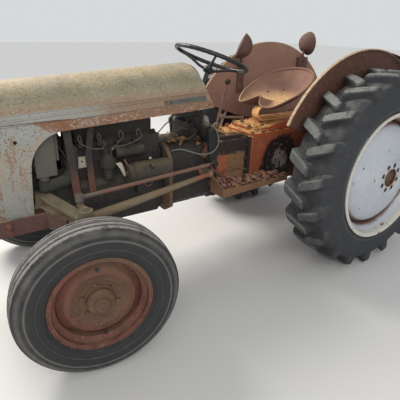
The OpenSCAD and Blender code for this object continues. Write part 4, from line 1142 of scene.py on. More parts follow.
class Form:
    """Gathers closed forms of one finish into one piece."""

    def __init__(self) -> None:
        """Starts empty."""
        self.mesh = bmesh.new()

    def skin(self, rings: Sequence[Sequence[Vector]], closed: bool = False) -> None:
        """Joins rings of equal length with faces, and closes both ends.

        Args:
            rings: The rings, in order.
            closed: Whether the last ring joins the first.
        """
        made = [[self.mesh.verts.new(point) for point in ring] for ring in rings]
        count = len(made[0])
        pairs = list(zip(made, made[1:] + made[:1] if closed else made[1:]))
        for first, second in pairs:
            for place in range(count):
                after = (place + 1) % count
                self.mesh.faces.new((first[place], first[after], second[after], second[place]))
        if not closed:
            self.mesh.faces.new(list(reversed(made[0])))
            self.mesh.faces.new(made[-1])

    def lathe(self, outline: Sequence[Pair], place: Point, along: Point, sides: int = 20) -> None:
        """Turns an outline about an axis.

        Args:
            outline: Radius and distance along the axis, in millimetres, from the foot up.
            place: Where the axis starts.
            along: Which way it points.
            sides: Faces round the axis.
        """
        first, second, third = frame_of(along)
        start = Vector(place)
        rings = []
        for radius, height in outline:
            ring = []
            for side in range(sides):
                angle = math.tau * side / sides
                out = first * math.cos(angle) * radius + second * math.sin(angle) * radius
                ring.append(start + (out + third * height) / 1000)
            rings.append(ring)
        self.skin(rings)

    def turned(self, profile: Sequence[Pair], place: Point, along: Point, sides: int = 64) -> None:
        """Turns a closed profile about an axis that it doesn't touch.

        Args:
            profile: Radius and distance along the axis, in millimetres.
            place: Where the axis starts.
            along: Which way it points.
            sides: Faces round the axis.
        """
        first, second, third = frame_of(along)
        start = Vector(place)
        rings = []
        for side in range(sides):
            angle = math.tau * side / sides
            out = first * math.cos(angle) + second * math.sin(angle)
            rings.append([start + (out * radius + third * height) / 1000 for radius, height in profile])
        self.skin(rings, closed=True)

    def as_object(self, name: str) -> bpy.types.Object:
        """Gives a working object with a copy of the mesh."""
        bmesh.ops.recalc_face_normals(self.mesh, faces=self.mesh.faces)
        data = bpy.data.meshes.new(name)
        self.mesh.to_mesh(data)
        made = bpy.data.objects.new(name, data)
        bpy.context.scene.collection.objects.link(made)
        return made

    def cut(self, tool: "Form") -> None:
        """Takes another form out of this one.

        Args:
            tool: The form to take out, which is used up.
        """
        work, knife = self.as_object("work"), tool.as_object("knife")
        change = work.modifiers.new("cut", "BOOLEAN")
        change.object = knife
        change.operation = "DIFFERENCE"
        change.solver = "EXACT"
        bpy.context.view_layer.update()
        done = bpy.data.meshes.new_from_object(work.evaluated_get(bpy.context.evaluated_depsgraph_get()))
        self.mesh.clear()
        self.mesh.from_mesh(done)
        tool.mesh.free()
        for used in (work, knife):
            bpy.data.objects.remove(used, do_unlink=True)

    def take(self, other: "Form") -> None:
        """Adds another form, which is used up."""
        data = bpy.data.meshes.new("joined")
        other.mesh.to_mesh(data)
        self.mesh.from_mesh(data)
        other.mesh.free()

    def bolt(self, place: Point, along: Point, across: float, tall: float, washer: bool = True) -> None:
        """Adds a hexagon head with a chamfer, on a washer.

        Args:
            place: Where the washer lies.
            along: Which way the head stands.
            across: Width over the flats, in millimetres.
            tall: Height of the head, in millimetres.
            washer: Whether a washer lies under the head.
        """
        corner = across / 2 / math.cos(math.pi / 6)
        base = -0.6
        if washer:
            self.lathe([(corner * 1.2, base), (corner * 1.25, 1.2), (corner * 1.18, 2.0)], place, along, 18)
            base = 1.4
        outline = [(corner, base), (corner, base + tall * 0.78), (corner * 0.86, base + tall)]
        self.lathe(outline, place, along, 6)

    def tube(
        self, points: Sequence[Point], radius: Union[float, Pair], sides: int = 10, steps: int = 5
    ) -> None:
        """Sweeps a round section along a smooth route.

        Args:
            points: The route's points, in metres.
            radius: Radius in millimetres, one for all or one at each end.
            sides: Faces round the route.
            steps: New points to each stretch.
        """
        route = smoothed(points, steps) if steps > 1 else [Vector(point) for point in points]
        ends = (radius, radius) if isinstance(radius, (int, float)) else (radius[0], radius[1])
        last = len(route) - 1
        first, second, _ = frame_of(route[1] - route[0])
        rings = []
        for place, centre in enumerate(route):
            heading = (route[min(place + 1, last)] - route[max(place - 1, 0)]).normalized()
            first = (first - heading * first.dot(heading)).normalized()
            second = heading.cross(first)
            size = (ends[0] + (ends[1] - ends[0]) * place / last) / 1000
            angles = [math.tau * side / sides for side in range(sides)]
            rings.append([centre + (first * math.cos(a) + second * math.sin(a)) * size for a in angles])
        self.skin(rings)

    def plate(
        self, outline: Sequence[Pair], place: Point, first: Point, second: Point, thick: float
    ) -> None:
        """Adds a flat plate with slightly broken edges.

        Args:
            outline: Its corners in the plate's plane, in millimetres.
            place: The plane's origin.
            first: The outline's first direction.
            second: The outline's second direction.
            thick: Thickness in millimetres, towards the plane's normal.
        """
        right, up = Vector(first).normalized(), Vector(second).normalized()
        normal = right.cross(up).normalized()
        middle = Vector((sum(x for x, _ in outline), sum(y for _, y in outline))) / len(outline)
        rings = []
        chamfer = min(0.8, thick * 0.3)
        for inset, height in ((chamfer, 0.0), (0.0, chamfer), (0.0, thick - chamfer), (chamfer, thick)):
            ring = []
            for x, y in outline:
                away = Vector((x, y)) - middle
                shrunk = middle + away * (1 - inset / max(away.length, 1.0))
                ring.append(Vector(place) + (right * shrunk.x + up * shrunk.y + normal * height) / 1000)
            rings.append(ring)
        self.skin(rings)

    def ring(
        self, place: Point, along: Point, radius: float, thick: float, sides: int = 32, around: int = 8
    ) -> None:
        """Adds a round ring.

        Args:
            place: Its centre.
            along: Its axis.
            radius: Radius of its middle line, in millimetres.
            thick: Radius of its section, in millimetres.
            sides: Faces along it.
            around: Faces round its section.
        """
        first, second, third = frame_of(along)
        rings = []
        for side in range(sides):
            angle = math.tau * side / sides
            out = first * math.cos(angle) + second * math.sin(angle)
            section = []
            for step in range(around):
                turn = math.tau * step / around
                reach = out * (radius + thick * math.cos(turn))
                section.append(Vector(place) + (reach + third * thick * math.sin(turn)) / 1000)
            rings.append(section)
        self.skin(rings, closed=True)

    def leaf(self, place: Point, turn: float, lean: float, length: float, curl: float) -> None:
        """Lays one curled dead leaf.

        Args:
            place: The leaf's middle.
            turn: Which way it points, in radians.
            lean: How far it tips up.
            length: Its length in millimetres.
            curl: How far its sides rise, as a share of its width.
        """
        along = Vector((math.cos(turn), math.sin(turn), lean)).normalized()
        side = Vector((-math.sin(turn), math.cos(turn), 0.3 * lean)).normalized()
        normal = along.cross(side)
        widths = (0.04, 0.26, 0.40, 0.30, 0.20, 0.05)
        rings = []
        for place_along, width in enumerate(widths):
            share = place_along / (len(widths) - 1) - 0.5
            bowed = normal * (0.25 - share ** 2) * length * 0.35
            centre = Vector(place) + (along * share * length + bowed) / 1000
            half = width * length
            lift = curl * half
            low, high = [], []
            for across in (-1.0, 0.0, 1.0):
                spot = centre + (side * across * half + normal * lift * across ** 2) / 1000
                low.append(spot)
                high.insert(0, spot + normal * 0.0011)
            rings.append(low + high)
        self.skin(rings)

    def piece(self, name: str, body: str, finish: Shop, sharp: float = 35.0) -> bpy.types.Object:
        """Makes the gathered forms an object that rides on a body.

        Args:
            name: The piece's name.
            body: The body of the frame that it moves with.
            finish: Its finish.
            sharp: Edges that bend more than this, in degrees, stay sharp.

        Returns:
            The object.
        """
        bmesh.ops.recalc_face_normals(self.mesh, faces=self.mesh.faces)
        data = bpy.data.meshes.new(name)
        for face in self.mesh.faces:
            face.smooth = True
        for edge in self.mesh.edges:
            if len(edge.link_faces) == 2 and edge.calc_face_angle(0.0) > math.radians(sharp):
                edge.smooth = False
        self.mesh.to_mesh(data)
        self.mesh.free()
        made = bpy.data.objects.new(name, data)
        bpy.context.scene.collection.objects.link(made)
        data.materials.append(finish.value.material())
        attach(made, body)
        for slot, finishes in SLOTS.items():
            finish in finishes
        LOG.info("%s rides on %s", name, body)
        return made


# Pieces


class Surface:
    """The outside of one CAD node, on which pieces are set."""

    def __init__(self, node: str) -> None:
        """Prepares the node's mesh for rays.

        Args:
            node: The node's name.
        """
        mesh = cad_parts[node].data
        corners = [vert.co for vert in mesh.vertices]
        self.tree = BVHTree.FromPolygons(corners, [tuple(face.vertices) for face in mesh.polygons])

    def hit(self, start: Point, along: Point) -> Vector:
        """Gives the first point that a ray meets, or the ray's start if it meets nothing.

        Args:
            start: The ray's start.
            along: The ray's direction.

        Returns:
            The point.
        """
        found = self.tree.ray_cast(Vector(start), Vector(along).normalized())[0]
        return found if found is not None else Vector(start)

    def facing(self, start: Point, along: Point) -> Vector:
        """Gives the direction that the surface faces where a ray meets it."""
        found = self.tree.ray_cast(Vector(start), Vector(along).normalized())
        normal = found[1] if found[0] is not None else -Vector(along).normalized()
        return normal if normal.dot(Vector(along)) < 0 else -normal

    def bolts(self, form: Form, starts: Iterable[Point], along: Point, across: float, tall: float) -> None:
        """Sets a bolt wherever a ray from a start meets the surface squarely.

        Args:
            form: The form that takes the bolts.
            starts: Where the rays start.
            along: Their direction.
            across: Width of the heads over the flats.
            tall: Height of the heads.
        """
        for start in starts:
            if self.tree.ray_cast(Vector(start), Vector(along).normalized())[0] is not None:
                form.bolt(self.hit(start, along), -Vector(along), across, tall)


def grid(xs: Iterable[float], ys: Iterable[float], zs: Iterable[float]) -> tuple[Triple, ...]:
    """Gives every point whose three measures are taken from the three lists."""
    return tuple((x, y, z) for x in xs for y in ys for z in zs)


@dataclass(frozen=True)
class BoltRow:
    """Bolts of one size that lie on one node, alike on both sides of the tractor.

    Attributes:
        node: The node's name.
        starts: Where rays towards the left side's bolts start, in millimetres from the rear axle.
        along: Direction of those rays.
        across: Width of the heads over the flats.
        tall: Height of the heads.
    """

    node: str
    starts: tuple[Triple, ...]
    along: Triple
    across: float
    tall: float

    def fix(self, form: Form) -> None:
        """Adds the bolts of both sides to a form."""
        surface = Surface(self.node)
        for side in (1, -1):
            starts = [from_axle(x, side * y, z) for x, y, z in self.starts]
            along = (self.along[0], side * self.along[1], self.along[2])
            surface.bolts(form, starts, along, self.across, self.tall)


@dataclass(frozen=True)
class Route:
    """A thin round rod or wire: its radius, the faces round it and the points that it passes."""

    radius: float
    sides: int
    steps: int
    points: tuple[Triple, ...]

    def lay(self, form: Form, side: int = 1) -> None:
        """Adds the rod to a form, on the left side or, with -1, on the right."""
        points = [from_axle(x, side * y, z) for x, y, z in self.points]
        form.tube(points, self.radius, self.sides, self.steps)


@dataclass
class Seat:
    """The pressed pan seat: a deep bowl, two thigh lobes with a notch, and a rolled rim."""

    middle: Pair = (262.0, 1071.0)
    tilt: float = math.radians(23.0)
    bowl: float = 98.0
    sheet: float = 3.5
    roll: float = 7.0
    steps: int = 96
    holes: tuple[Pair, ...] = ((-95.0, -55.0), (-20.0, -135.0))
    shares: tuple[float, ...] = (
        0.05, 0.12, 0.2, 0.29, 0.38, 0.47, 0.56, 0.64, 0.72, 0.79, 0.85, 0.9, 0.94, 0.97, 0.99,
    )

    def reach(self, turn: float) -> float:
        """Gives the distance of the rim from the middle, with 0 straight ahead."""
        front = max(0.0, math.cos(turn))
        wide = 232 + 10 * math.cos(turn) ** 2 + 14 * front
        lobes = 14 * math.exp(-(((abs(turn) - 0.62) / 0.30) ** 2))
        return wide + lobes - 104 * math.exp(-((turn / 0.24) ** 2))

    def rim(self, turn: float) -> float:
        """Gives the height of the rim over the seat's own plane."""
        side = abs(turn)
        droop = 28 * math.exp(-(((side - 0.62) / 0.42) ** 2)) + 14 * math.exp(-(((side - 1.35) / 0.45) ** 2))
        return 4 - droop

    def height(self, ahead: float, aside: float, share: float, turn: float) -> float:
        """Gives the height of the bowl's upper side over the seat's own plane.

        Args:
            ahead: Distance ahead of the middle.
            aside: Distance to the left of the middle.
            share: Share of the way from the middle to the rim.
            turn: Direction from the middle.

        Returns:
            The height.
        """
        deep = self.bowl * (1 - share ** 2.6) ** 0.85
        pommel = 20 * math.exp(-((aside / 38) ** 2)) * max(0.0, min(1.0, (ahead - 5) / 90))
        lobe = math.exp(-(((abs(aside) - 92) / 46) ** 2))
        thighs = 9 * lobe * max(0.0, min(1.0, ahead / 120)) * (1 - share)
        return self.rim(turn) * share ** 3 - deep + pommel * (1 - share ** 6) - thighs

    def spot(self, ahead: float, aside: float, up: float) -> Vector:
        """Turns the seat's own measures into a point of the frame."""
        x = self.middle[0] + ahead * math.cos(self.tilt) + up * math.sin(self.tilt)
        z = self.middle[1] - ahead * math.sin(self.tilt) + up * math.cos(self.tilt)
        return from_axle(x, aside, z)

    def ring(self, share: float, lift: float, out: float = 0.0) -> list[Vector]:
        """Gives one ring of points.

        Args:
            share: Share of the way from the middle to the rim.
            lift: Added height.
            out: Added distance from the middle.

        Returns:
            The ring.
        """
        points = []
        for step in range(self.steps):
            turn = math.tau * step / self.steps
            turn = turn - math.tau if turn > math.pi else turn
            away = self.reach(turn) * share
            if share < 0.9:
                away = away * (1 - (share / 0.9) ** 2) * 1.02 + away * (share / 0.9) ** 2
            ahead, aside = away * math.cos(turn), away * math.sin(turn)
            up = self.height(ahead, aside, share, turn) + lift
            points.append(self.spot(ahead + out * math.cos(turn), aside + out * math.sin(turn), up))
        return points

    def build(self) -> None:
        """Makes the pan in place of the CAD seat."""
        form = Form()
        rings = [self.ring(share, 0.0) for share in self.shares]
        for step in range(9):
            angle = math.pi * (0.92 - 1.55 * step / 8)
            lift, out = self.roll * math.sin(angle) - 1.0, self.roll * (math.cos(angle) + 0.4)
            rings.append(self.ring(1.0, lift, out))
        rings.extend(self.ring(share, -self.sheet) for share in reversed(self.shares[:-1]))
        form.skin(rings)
        pan = form.piece("seat_pan", "chassis", Shop.SEAT, 60.0)
        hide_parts("seat")
        holes = Form()
        for ahead, aside in self.holes:
            turn = math.atan2(aside, ahead)
            share = math.hypot(ahead, aside) / self.reach(turn)
            middle = self.spot(ahead, aside, self.height(ahead, aside, share, turn))
            over = self.spot(ahead + 5, aside, self.height(ahead + 5, aside, share, turn))
            across = self.spot(ahead, aside + 5, self.height(ahead, aside + 5, share, turn))
            facing = (over - middle).cross(across - middle).normalized()
            holes.lathe([(9, -1), (9, 0.6), (8, 0.9)], middle, facing, 20)
        holes.piece("seat_holes", "chassis", Shop.DARK)


@dataclass
class RearTyre:
    """A lugged rear tyre: two staggered rows of curved lugs whose outer ends run down the shoulders."""

    radius: float = 1000 * REAR_RADIUS
    middle: float = 612.0
    lugs: int = 19
    crest: float = 22.0
    foot: float = 44.0
    side: tuple[Pair, ...] = (
        (377, 60), (377, 138), (391, 138.5), (395, 143), (402, 146.5), (411, 147.6), (416, 150.2),
        (422, 150), (427, 147.4), (440, 148), (455, 148.5), (465, 150), (471, 148.2), (482, 147),
    )
    low: tuple[Pair, ...] = (
        (494, 145.5), (507, 142.5), (520, 138), (533, 132), (543, 126), (551, 119), (557, 110), (561, 99),
        (564, 86), (566, 70), (567, 54), (568, 38), (568, 24), (568, 12), (568, 0),
    )
    high: tuple[Pair, ...] = (
        (496, 147), (516, 147.5), (538, 147), (560, 145.5), (576, 142), (589, 137), (597, 131),
        (603, 123), (606, 113), (608, 99), (609, 81), (609.4, 58), (609.8, 34), (610, 16), (610, 0),
    )

    def lean(self, aside: float) -> float:
        """Gives how far forward the lug's middle line lies at a distance from the tyre's middle."""
        if aside < 50:
            return 46 - 0.70 * aside
        return 11 - 0.47 * (aside - 50)

    def lug(self, phase: float, aside: float) -> float:
        """Gives the share of full height, from the place along the tread and across it.

        Args:
            phase: Distance from the lug's middle line along the tread.
            aside: Distance from the tyre's middle, towards the lug's own side.

        Returns:
            0 to 1.
        """
        flank = (self.foot - abs(phase)) / (self.foot - self.crest)
        end = (aside + 30) / 16
        return max(0.0, min(1.0, flank, end))

    def build(self, left: bool) -> None:
        """Makes one tyre in place of the CAD tyre.

        Args:
            left: Whether it is the left tyre.
        """
        pitch = math.tau * self.radius / self.lugs
        half = pitch / 2
        marks = [-48, -44, -38, -31, -25, -22, -19, -8, 8, 19, 22, 25, 31, 38, 44, 48]
        marks = sorted({mark % pitch for mark in marks} | {(mark + half) % pitch for mark in marks})
        marks = [mark for place, mark in enumerate(marks) if mark - marks[place - 1] > 1.5 or place == 0]
        rows: list[tuple[Pair, Pair]] = [(spot, spot) for spot in self.side]
        rows.extend(zip(self.low, self.high))
        rows.extend(((low[0], -low[1]), (high[0], -high[1])) for low, high in reversed(rows[:-1]))
        sign = 1 if left else -1
        rings = []
        for base, top in rows:
            ring = []
            shear = self.lean(min(abs(base[1]), 138.0))
            for lug in range(self.lugs):
                for mark in marks:
                    share = 0.0
                    for own, row in ((1, 0.0), (-1, half)):
                        aside = own * base[1]
                        line = self.lean(min(aside, 138.0))
                        phase = (mark - row + shear - line + half) % pitch - half
                        share = max(share, self.lug(phase, aside))
                    share = share * share * (3 - 2 * share) if share < 1 else 1.0
                    radius = base[0] + (top[0] - base[0]) * share
                    across = base[1] + (top[1] - base[1]) * share
                    angle = math.pi + lug * math.tau / self.lugs + (mark + shear) / self.radius
                    ahead, up = radius * math.sin(angle), radius * math.cos(angle)
                    ring.append(from_axle(ahead, sign * (self.middle + across), self.radius + up))
            rings.append(ring)
        form = Form()
        form.skin(rings, closed=True)
        name = "left" if left else "right"
        tyre = form.piece(f"rear_tread_{name}", f"rear_wheel_{name}", Shop.REAR_RUBBER, 32.0)
        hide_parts(f"rear_tyre_{name}")


@dataclass
class RearWheel:
    """A rear wheel: a rolled rim with its well, a deep dished disc with eight open holes, and the hub."""

    centre: Pair = (612.0, 1000 * REAR_RADIUS)
    holes: int = 8
    hole_circle: float = 77.0
    hole: float = 15.5
    opening: float = 53.0
    rim: tuple[Pair, ...] = (
        (390, 137), (390, 145), (394, 148), (394.5, 151.5), (391, 153.2), (386.5, 150), (380, 148.8),
        (376.5, 150.6), (373, 150), (370, 146), (368, 139), (368, 122), (364, 112), (353, 98), (342, 86),
        (335, 76), (333, 62), (333, -62), (335, -76), (353, -98), (367, -112), (367, -140), (374, -146),
        (388, -150), (394, -148), (390, -137), (377, -137), (377, -102), (344, -74), (344, 74), (377, 104),
        (377, 137),
    )
    disc: tuple[Pair, ...] = (
        (335, 22), (333.5, 38), (327, 54), (317, 70), (304, 84), (288, 97), (270, 109), (248, 120),
        (224, 130), (196, 139.5), (168, 147), (142, 153), (128, 155.6), (123, 158.6), (118, 160.4),
        (113, 159.6),
        (109, 156.6), (104, 156.6), (96, 158), (84, 159), (66, 160), (57, 161),
    )
    hub: tuple[Pair, ...] = (
        (118, 124), (118, 140), (97, 143), (54, 144), (48, 138), (38, 138), (36, 146), (30, 148), (24, 147),
        (8, 147),
    )
    drum: tuple[Pair, ...] = (
        (176, 80), (176, 132), (170, 142.6), (140, 149.6), (112, 152.8), (112, 142), (156, 134), (164, 126),
        (164, 80),
    )

    def hole_spot(self, place: Vector, step: int) -> Vector:
        """Gives the middle of one of the holes, level with the given place along the axle."""
        angle = math.tau * (step + 0.35) / self.holes
        return place + Vector((math.cos(angle), 0, math.sin(angle))) * self.hole_circle / 1000

    def build(self, left: bool) -> None:
        """Makes one wheel in place of the CAD wheel.

        Args:
            left: Whether it is the left wheel.
        """
        sign = 1 if left else -1
        name = "left" if left else "right"
        body = f"rear_wheel_{name}"
        place = from_axle(0, sign * self.centre[0], self.centre[1])
        along = Vector((0, sign, 0))
        rim = Form()
        rim.turned(self.rim, place, along, 128)
        disc = Form()
        back = [(radius, height - 4.0) for radius, height in reversed(self.disc)]
        lip = [(self.opening, 158.0), (self.opening, 154.5), (55, 153)]
        disc.turned([*self.disc, (54.5, 160.5), *lip, *back[1:-1], (330.5, 22)], place, along, 128)
        holes = Form()
        for step in range(self.holes):
            holes.lathe([(self.hole, 140), (self.hole, 175)], self.hole_spot(place, step), along, 24)
        disc.cut(holes)
        rim.take(disc)
        wheel = rim.piece(f"rear_rim_{name}", body, Shop.DISC, 40.0)
        hub = Form()
        hub.lathe(self.hub, place, along, 48)
        hub.lathe([(33, -51), (33, 130)], place, along, 32)
        hub.turned(self.drum, place, along, 64)
        for step in range(self.holes):
            hub.bolt(self.hole_spot(place, step) + along * 0.143, along, 20, 9, False)
        core = hub.piece(f"rear_hub_{name}", body, Shop.HUB, 35.0)
        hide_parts(body)
        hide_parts(body)


@dataclass
class FrontWheel:
    """What the CAD front wheel lacks: nuts, a valve, a cap over the hub, and rings on the tyre."""

    kingpin: Pair = (1000 * FRONT_AXLE, 1000 * KINGPIN_Y)
    height: float = 1000 * FRONT_RADIUS
    offset: float = 122.0
    nuts: int = 6
    nut_circle: float = 78.0
    valve_turn: float = -1.62
    hole_turn: float = 1.55
    tyre_rings: tuple[Pair, ...] = ((236, 69.2), (262, 76.4), (302, 77.6))
    cap: tuple[Pair, ...] = (
        (68, 14), (68, 19), (62, 22), (60.7, 24), (60.7, 42.6), (53, 52.9), (44, 55.5), (38, 57.5),
        (34.7, 60), (34.7, 66.6), (27, 77), (10, 78.6),
    )

    def spot(self, left: bool, angle: float, radius: float, out: float) -> Vector:
        """Gives a point of the wheel.

        Args:
            left: Whether it is the left wheel.
            angle: Angle from straight ahead, rising.
            radius: Distance from the axle.
            out: Distance outboard of the wheel's middle.

        Returns:
            The point.
        """
        sign = 1 if left else -1
        ahead = radius * math.cos(angle)
        aside = sign * (self.offset + out)
        x = self.kingpin[0] + ahead * math.cos(STEERED) + aside * math.sin(STEERED)
        y = sign * self.kingpin[1] - ahead * math.sin(STEERED) + aside * math.cos(STEERED)
        return from_axle(x, y, self.height + radius * math.sin(angle))

    def build(self, left: bool) -> None:
        """Makes the pieces of one wheel.

        Args:
            left: Whether it is the left wheel.
        """
        name = "left" if left else "right"
        body = f"front_wheel_{name}"
        middle = self.spot(left, 0, 0, 0)
        out = (self.spot(left, 0, 0, 1) - middle).normalized()
        cap = Form()
        cap.lathe(self.cap, middle, out, 40)
        cap.piece(f"front_hub_{name}", body, Shop.HUB, 30.0)
        nuts = Form()
        for step in range(self.nuts):
            turn = math.tau * (step + 0.3) / self.nuts
            nuts.bolt(self.spot(left, turn, self.nut_circle, 15), out, 16, 10)
        nuts.lathe([(17, 77), (17, 80), (15, 81), (7, 81), (6, 77)], middle, out, 24)
        nuts.piece(f"front_nuts_{name}", body, Shop.HUB)
        valve = Form()
        reach = ((182, 24), (174, 36), (160, 44), (148, 49))
        stem = [self.spot(left, self.valve_turn, radius, at) for radius, at in reach]
        valve.tube(stem[:3], 3.6, 10)
        valve.tube(stem[2:], 6.2, 10, 1)
        valve.lathe([(9, -3), (9, 1.2)], self.spot(left, self.hole_turn, 150, 30), out, 20)
        valve.piece(f"front_valve_{name}", body, Shop.BLACK)
        rings = Form()
        for radius, at in self.tyre_rings:
            rings.ring(middle + out * at / 1000, out, radius, 2.6, 96, 8)
            rings.ring(middle - out * at / 1000, out, radius, 2.6, 96, 8)
        rings.piece(f"front_tyre_rings_{name}", body, Shop.FRONT_RUBBER, 60.0)


@dataclass
class SteeringWheel:
    """The dished steering wheel: a moulded rim with finger grips, three spokes, the hub and its column."""

    centre: Pair = (807.0, 1248.0)
    tilt: float = math.radians(20.6)
    radius: float = 214.0
    thick: float = 12.0
    dish: float = 62.0
    column: float = 14.0
    column_foot: float = -339.0
    facets: int = 144
    grips: int = 36
    spokes: int = 3

    def spot(self, ahead: float, aside: float, up: float) -> Vector:
        """Turns the wheel's own measures into a point of the frame."""
        x = self.centre[0] + ahead * math.cos(self.tilt) - up * math.sin(self.tilt)
        z = self.centre[1] + ahead * math.sin(self.tilt) + up * math.cos(self.tilt)
        return from_axle(x, aside, z)

    def build(self) -> None:
        """Makes the wheel in place of the CAD wheel."""
        form = Form()
        along = self.spot(0, 0, 1) - self.spot(0, 0, 0)
        sections = []
        for side in range(self.facets):
            angle = math.tau * side / self.facets
            thick = self.thick * (1 + 0.035 * math.cos(angle * self.grips))
            section = []
            for step in range(12):
                turn = math.tau * step / 12
                reach = self.radius + thick * math.cos(turn)
                section.append(
                    self.spot(reach * math.cos(angle), reach * math.sin(angle), thick * math.sin(turn))
                )
            sections.append(section)
        form.skin(sections, closed=True)
        hub = self.spot(0, 0, -self.dish - 20)
        form.lathe([(24, 0), (30, 6), (31, 22), (26, 32), (18, 36), (17, 44), (6, 47)], hub, along, 28)
        arm = ((18, -self.dish), (60, -self.dish + 8), (130, -self.dish + 36), (self.radius - 2, -2))
        for spoke in range(self.spokes):
            angle = math.tau * (spoke + 0.5) / self.spokes
            route = [self.spot(reach * math.cos(angle), reach * math.sin(angle), up) for reach, up in arm]
            form.tube(route, (9.0, 6.5), 12, 6)
        form.tube([self.spot(0, 0, -self.dish), self.spot(0, 0, self.column_foot)], self.column, 20, 1)
        wheel = form.piece("steering_wheel_rim", "steering_wheel", Shop.BLACK, 50.0)
        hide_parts("steering_wheel")


@dataclass
class HoodTrim:
    """Lines, blank badge strips and small holes on the hood."""

    start: float = 400.0

    crease: tuple[Pair, ...] = (
        (2006, 1011), (1866, 1017), (1715, 1022), (1526, 1028), (1225, 1043), (962, 1051),
    )
    strip: tuple[float, float, float, float] = (972.0, 1228.0, 1052.0, 1078.0)
    fall: float = 0.0365
    pinch: float = 4.0
    holes: tuple[Triple, ...] = (
        (1961.5, 951.3, 8.0), (2030, 1000, 5.0), (1700, 1000, 3.5), (960, 1030, 4.0),
    )

    def build(self) -> None:
        """Makes the trims on both sides."""
        skin = Surface("hood")
        lines = Form()
        for side in (1, -1):
            starts = smoothed([from_axle(x, side * self.start, z) for x, z in self.crease], 6)
            lines.tube([skin.hit(start, (0, -side, 0)) for start in starts], 2.4, 8, 1)
        lines.piece("hood_creases", "hood", Shop.HOOD, 60.0)
        strips = Form()
        left, right, low, high = self.strip
        for side in (1, -1):
            columns = []
            for step in range(15):
                x = left + (right - left) * step / 14
                drop = (x - left) * self.fall
                pinch = self.pinch * step / 14
                heights = [low - drop + pinch + (high - low - 2 * pinch) * part / 4 for part in range(5)]
                column = [skin.hit(from_axle(x, side * self.start, z), (0, -side, 0)) for z in heights]
                over = [spot + Vector((0, side * 0.0022, 0.0004)) for spot in column]
                columns.append(over + [spot - Vector((0, side * 0.002, 0)) for spot in reversed(column)])
            strips.skin(columns)
        strips.piece("hood_strips", "hood", Shop.BADGE, 40.0)
        holes = Form()
        for x, z, radius in self.holes:
            for side in (1, -1):
                start, along = from_axle(x, side * self.start, z), (0, -side, 0)
                outline = [(radius, -2), (radius, 0.5), (radius * 0.9, 0.7)]
                holes.lathe(outline, skin.hit(start, along), skin.facing(start, along), 20)
        holes.piece("hood_holes", "hood", Shop.DARK)


@dataclass
class Transmission:
    """Bolts, the bent step rods and the debris on the gearbox and the lift cover."""

    cover_circle: tuple[Triple, ...] = tuple(
        (325 + 118 * math.cos(turn), 260, 613 + 118 * math.sin(turn))
        for turn in (math.tau * (step + 0.5) / 8 for step in range(8))
    )
    rod_route: Route = Route(
        4.2, 10, 4, ((822, 146, 588), (814, 154, 592), (716, 158, 611), (612, 156, 581), (604, 146, 578))
    )

    def bolts(self) -> None:
        """Sets the bolt heads on every flange."""
        down, ahead, astern, inwards = (0, 0, -1), (1, 0, 0), (-1, 0, 0), (0, -1, 0)
        rusty, dark = Form(), Form()
        for row in (
            BoltRow("lift_cover", grid(range(-30, 570, 85), (134,), (900,)), down, 20, 12),
            BoltRow("gearbox", grid((640, 700, 835), (100,), (900,)), down, 19, 11),
            BoltRow("lift_cover", grid((442, 548), (78,), (1000,)), down, 22, 13),
        ):
            row.fix(rusty)
        for row in (
            BoltRow("gearbox", grid((700,), (142,), (500, 580, 660, 740)), astern, 18, 11),
            BoltRow("gearbox", grid((790,), (166,), (470, 540, 620, 700, 760)), ahead, 18, 11),
            BoltRow("gearbox", grid((1120,), (172,), (480, 560, 640, 720, 780)), ahead, 18, 11),
            BoltRow("side_covers", self.cover_circle, inwards, 17, 10),
            BoltRow("rear_housing", grid((180, 480), (260,), (470,)), inwards, 20, 12),
        ):
            row.fix(dark)
        rusty.piece("casing_bolts", "chassis", Shop.BOLT)
        dark.piece("flange_bolts", "chassis", Shop.DARK_BOLT)

    def rod(self) -> None:
        """Bends the thin rod over each step."""
        form = Form()
        for side in (1, -1):
            self.rod_route.lay(form, side)
        form.piece("step_rods", "chassis", Shop.LEVER)

    def heap(
        self, form: Form, node: str, area: tuple[float, float, float, float], tall: float, shift: float
    ) -> None:
        """Heaps straw and dead leaves on a level part of a node.

        Args:
            form: The form that takes the heap.
            node: The node that carries it.
            area: Lowest and highest X and Y.
            tall: Greatest height.
            shift: Moves the pattern.
        """
        carrier = Surface(node)
        across, along = 30, 34
        rows = []
        for step in range(along + 1):
            x = area[0] + (area[1] - area[0]) * step / along
            top, base = [], []
            for part in range(across + 1):
                y = area[2] + (area[3] - area[2]) * part / across
                below = carrier.hit(from_axle(x, y, 1000), (0, 0, -1))
                cloud = noise.noise(Vector((x * 0.022, y * 0.022, shift)))
                grain = noise.noise(Vector((x * 0.075, y * 0.075, shift + 5)))
                edge = min(step, along - step, part, across - part) / 4
                rise = min(1.0, edge) * (cloud * 1.3 + grain * 0.9 + 0.35) * tall
                top.append(below + Vector((0, 0, max(-0.5, min(tall, rise)) / 1000)))
                base.insert(0, below - Vector((0, 0, 0.004)))
            rows.append(top + base)
        form.skin(rows)

    def debris(self) -> None:
        """Lays the debris on the lift cover's front and on the gearbox, mostly towards the right."""
        form = Form()
        self.heap(form, "lift_cover", (418, 566, -140, 140), 12.0, 1.0)
        self.heap(form, "gearbox", (616, 846, -138, 40), 14.0, 4.0)
        form.piece("straw_heaps", "chassis", Shop.STRAW, 80.0)

    def build(self) -> None:
        """Makes all of it."""
        self.bolts()
        self.rod()
        self.debris()


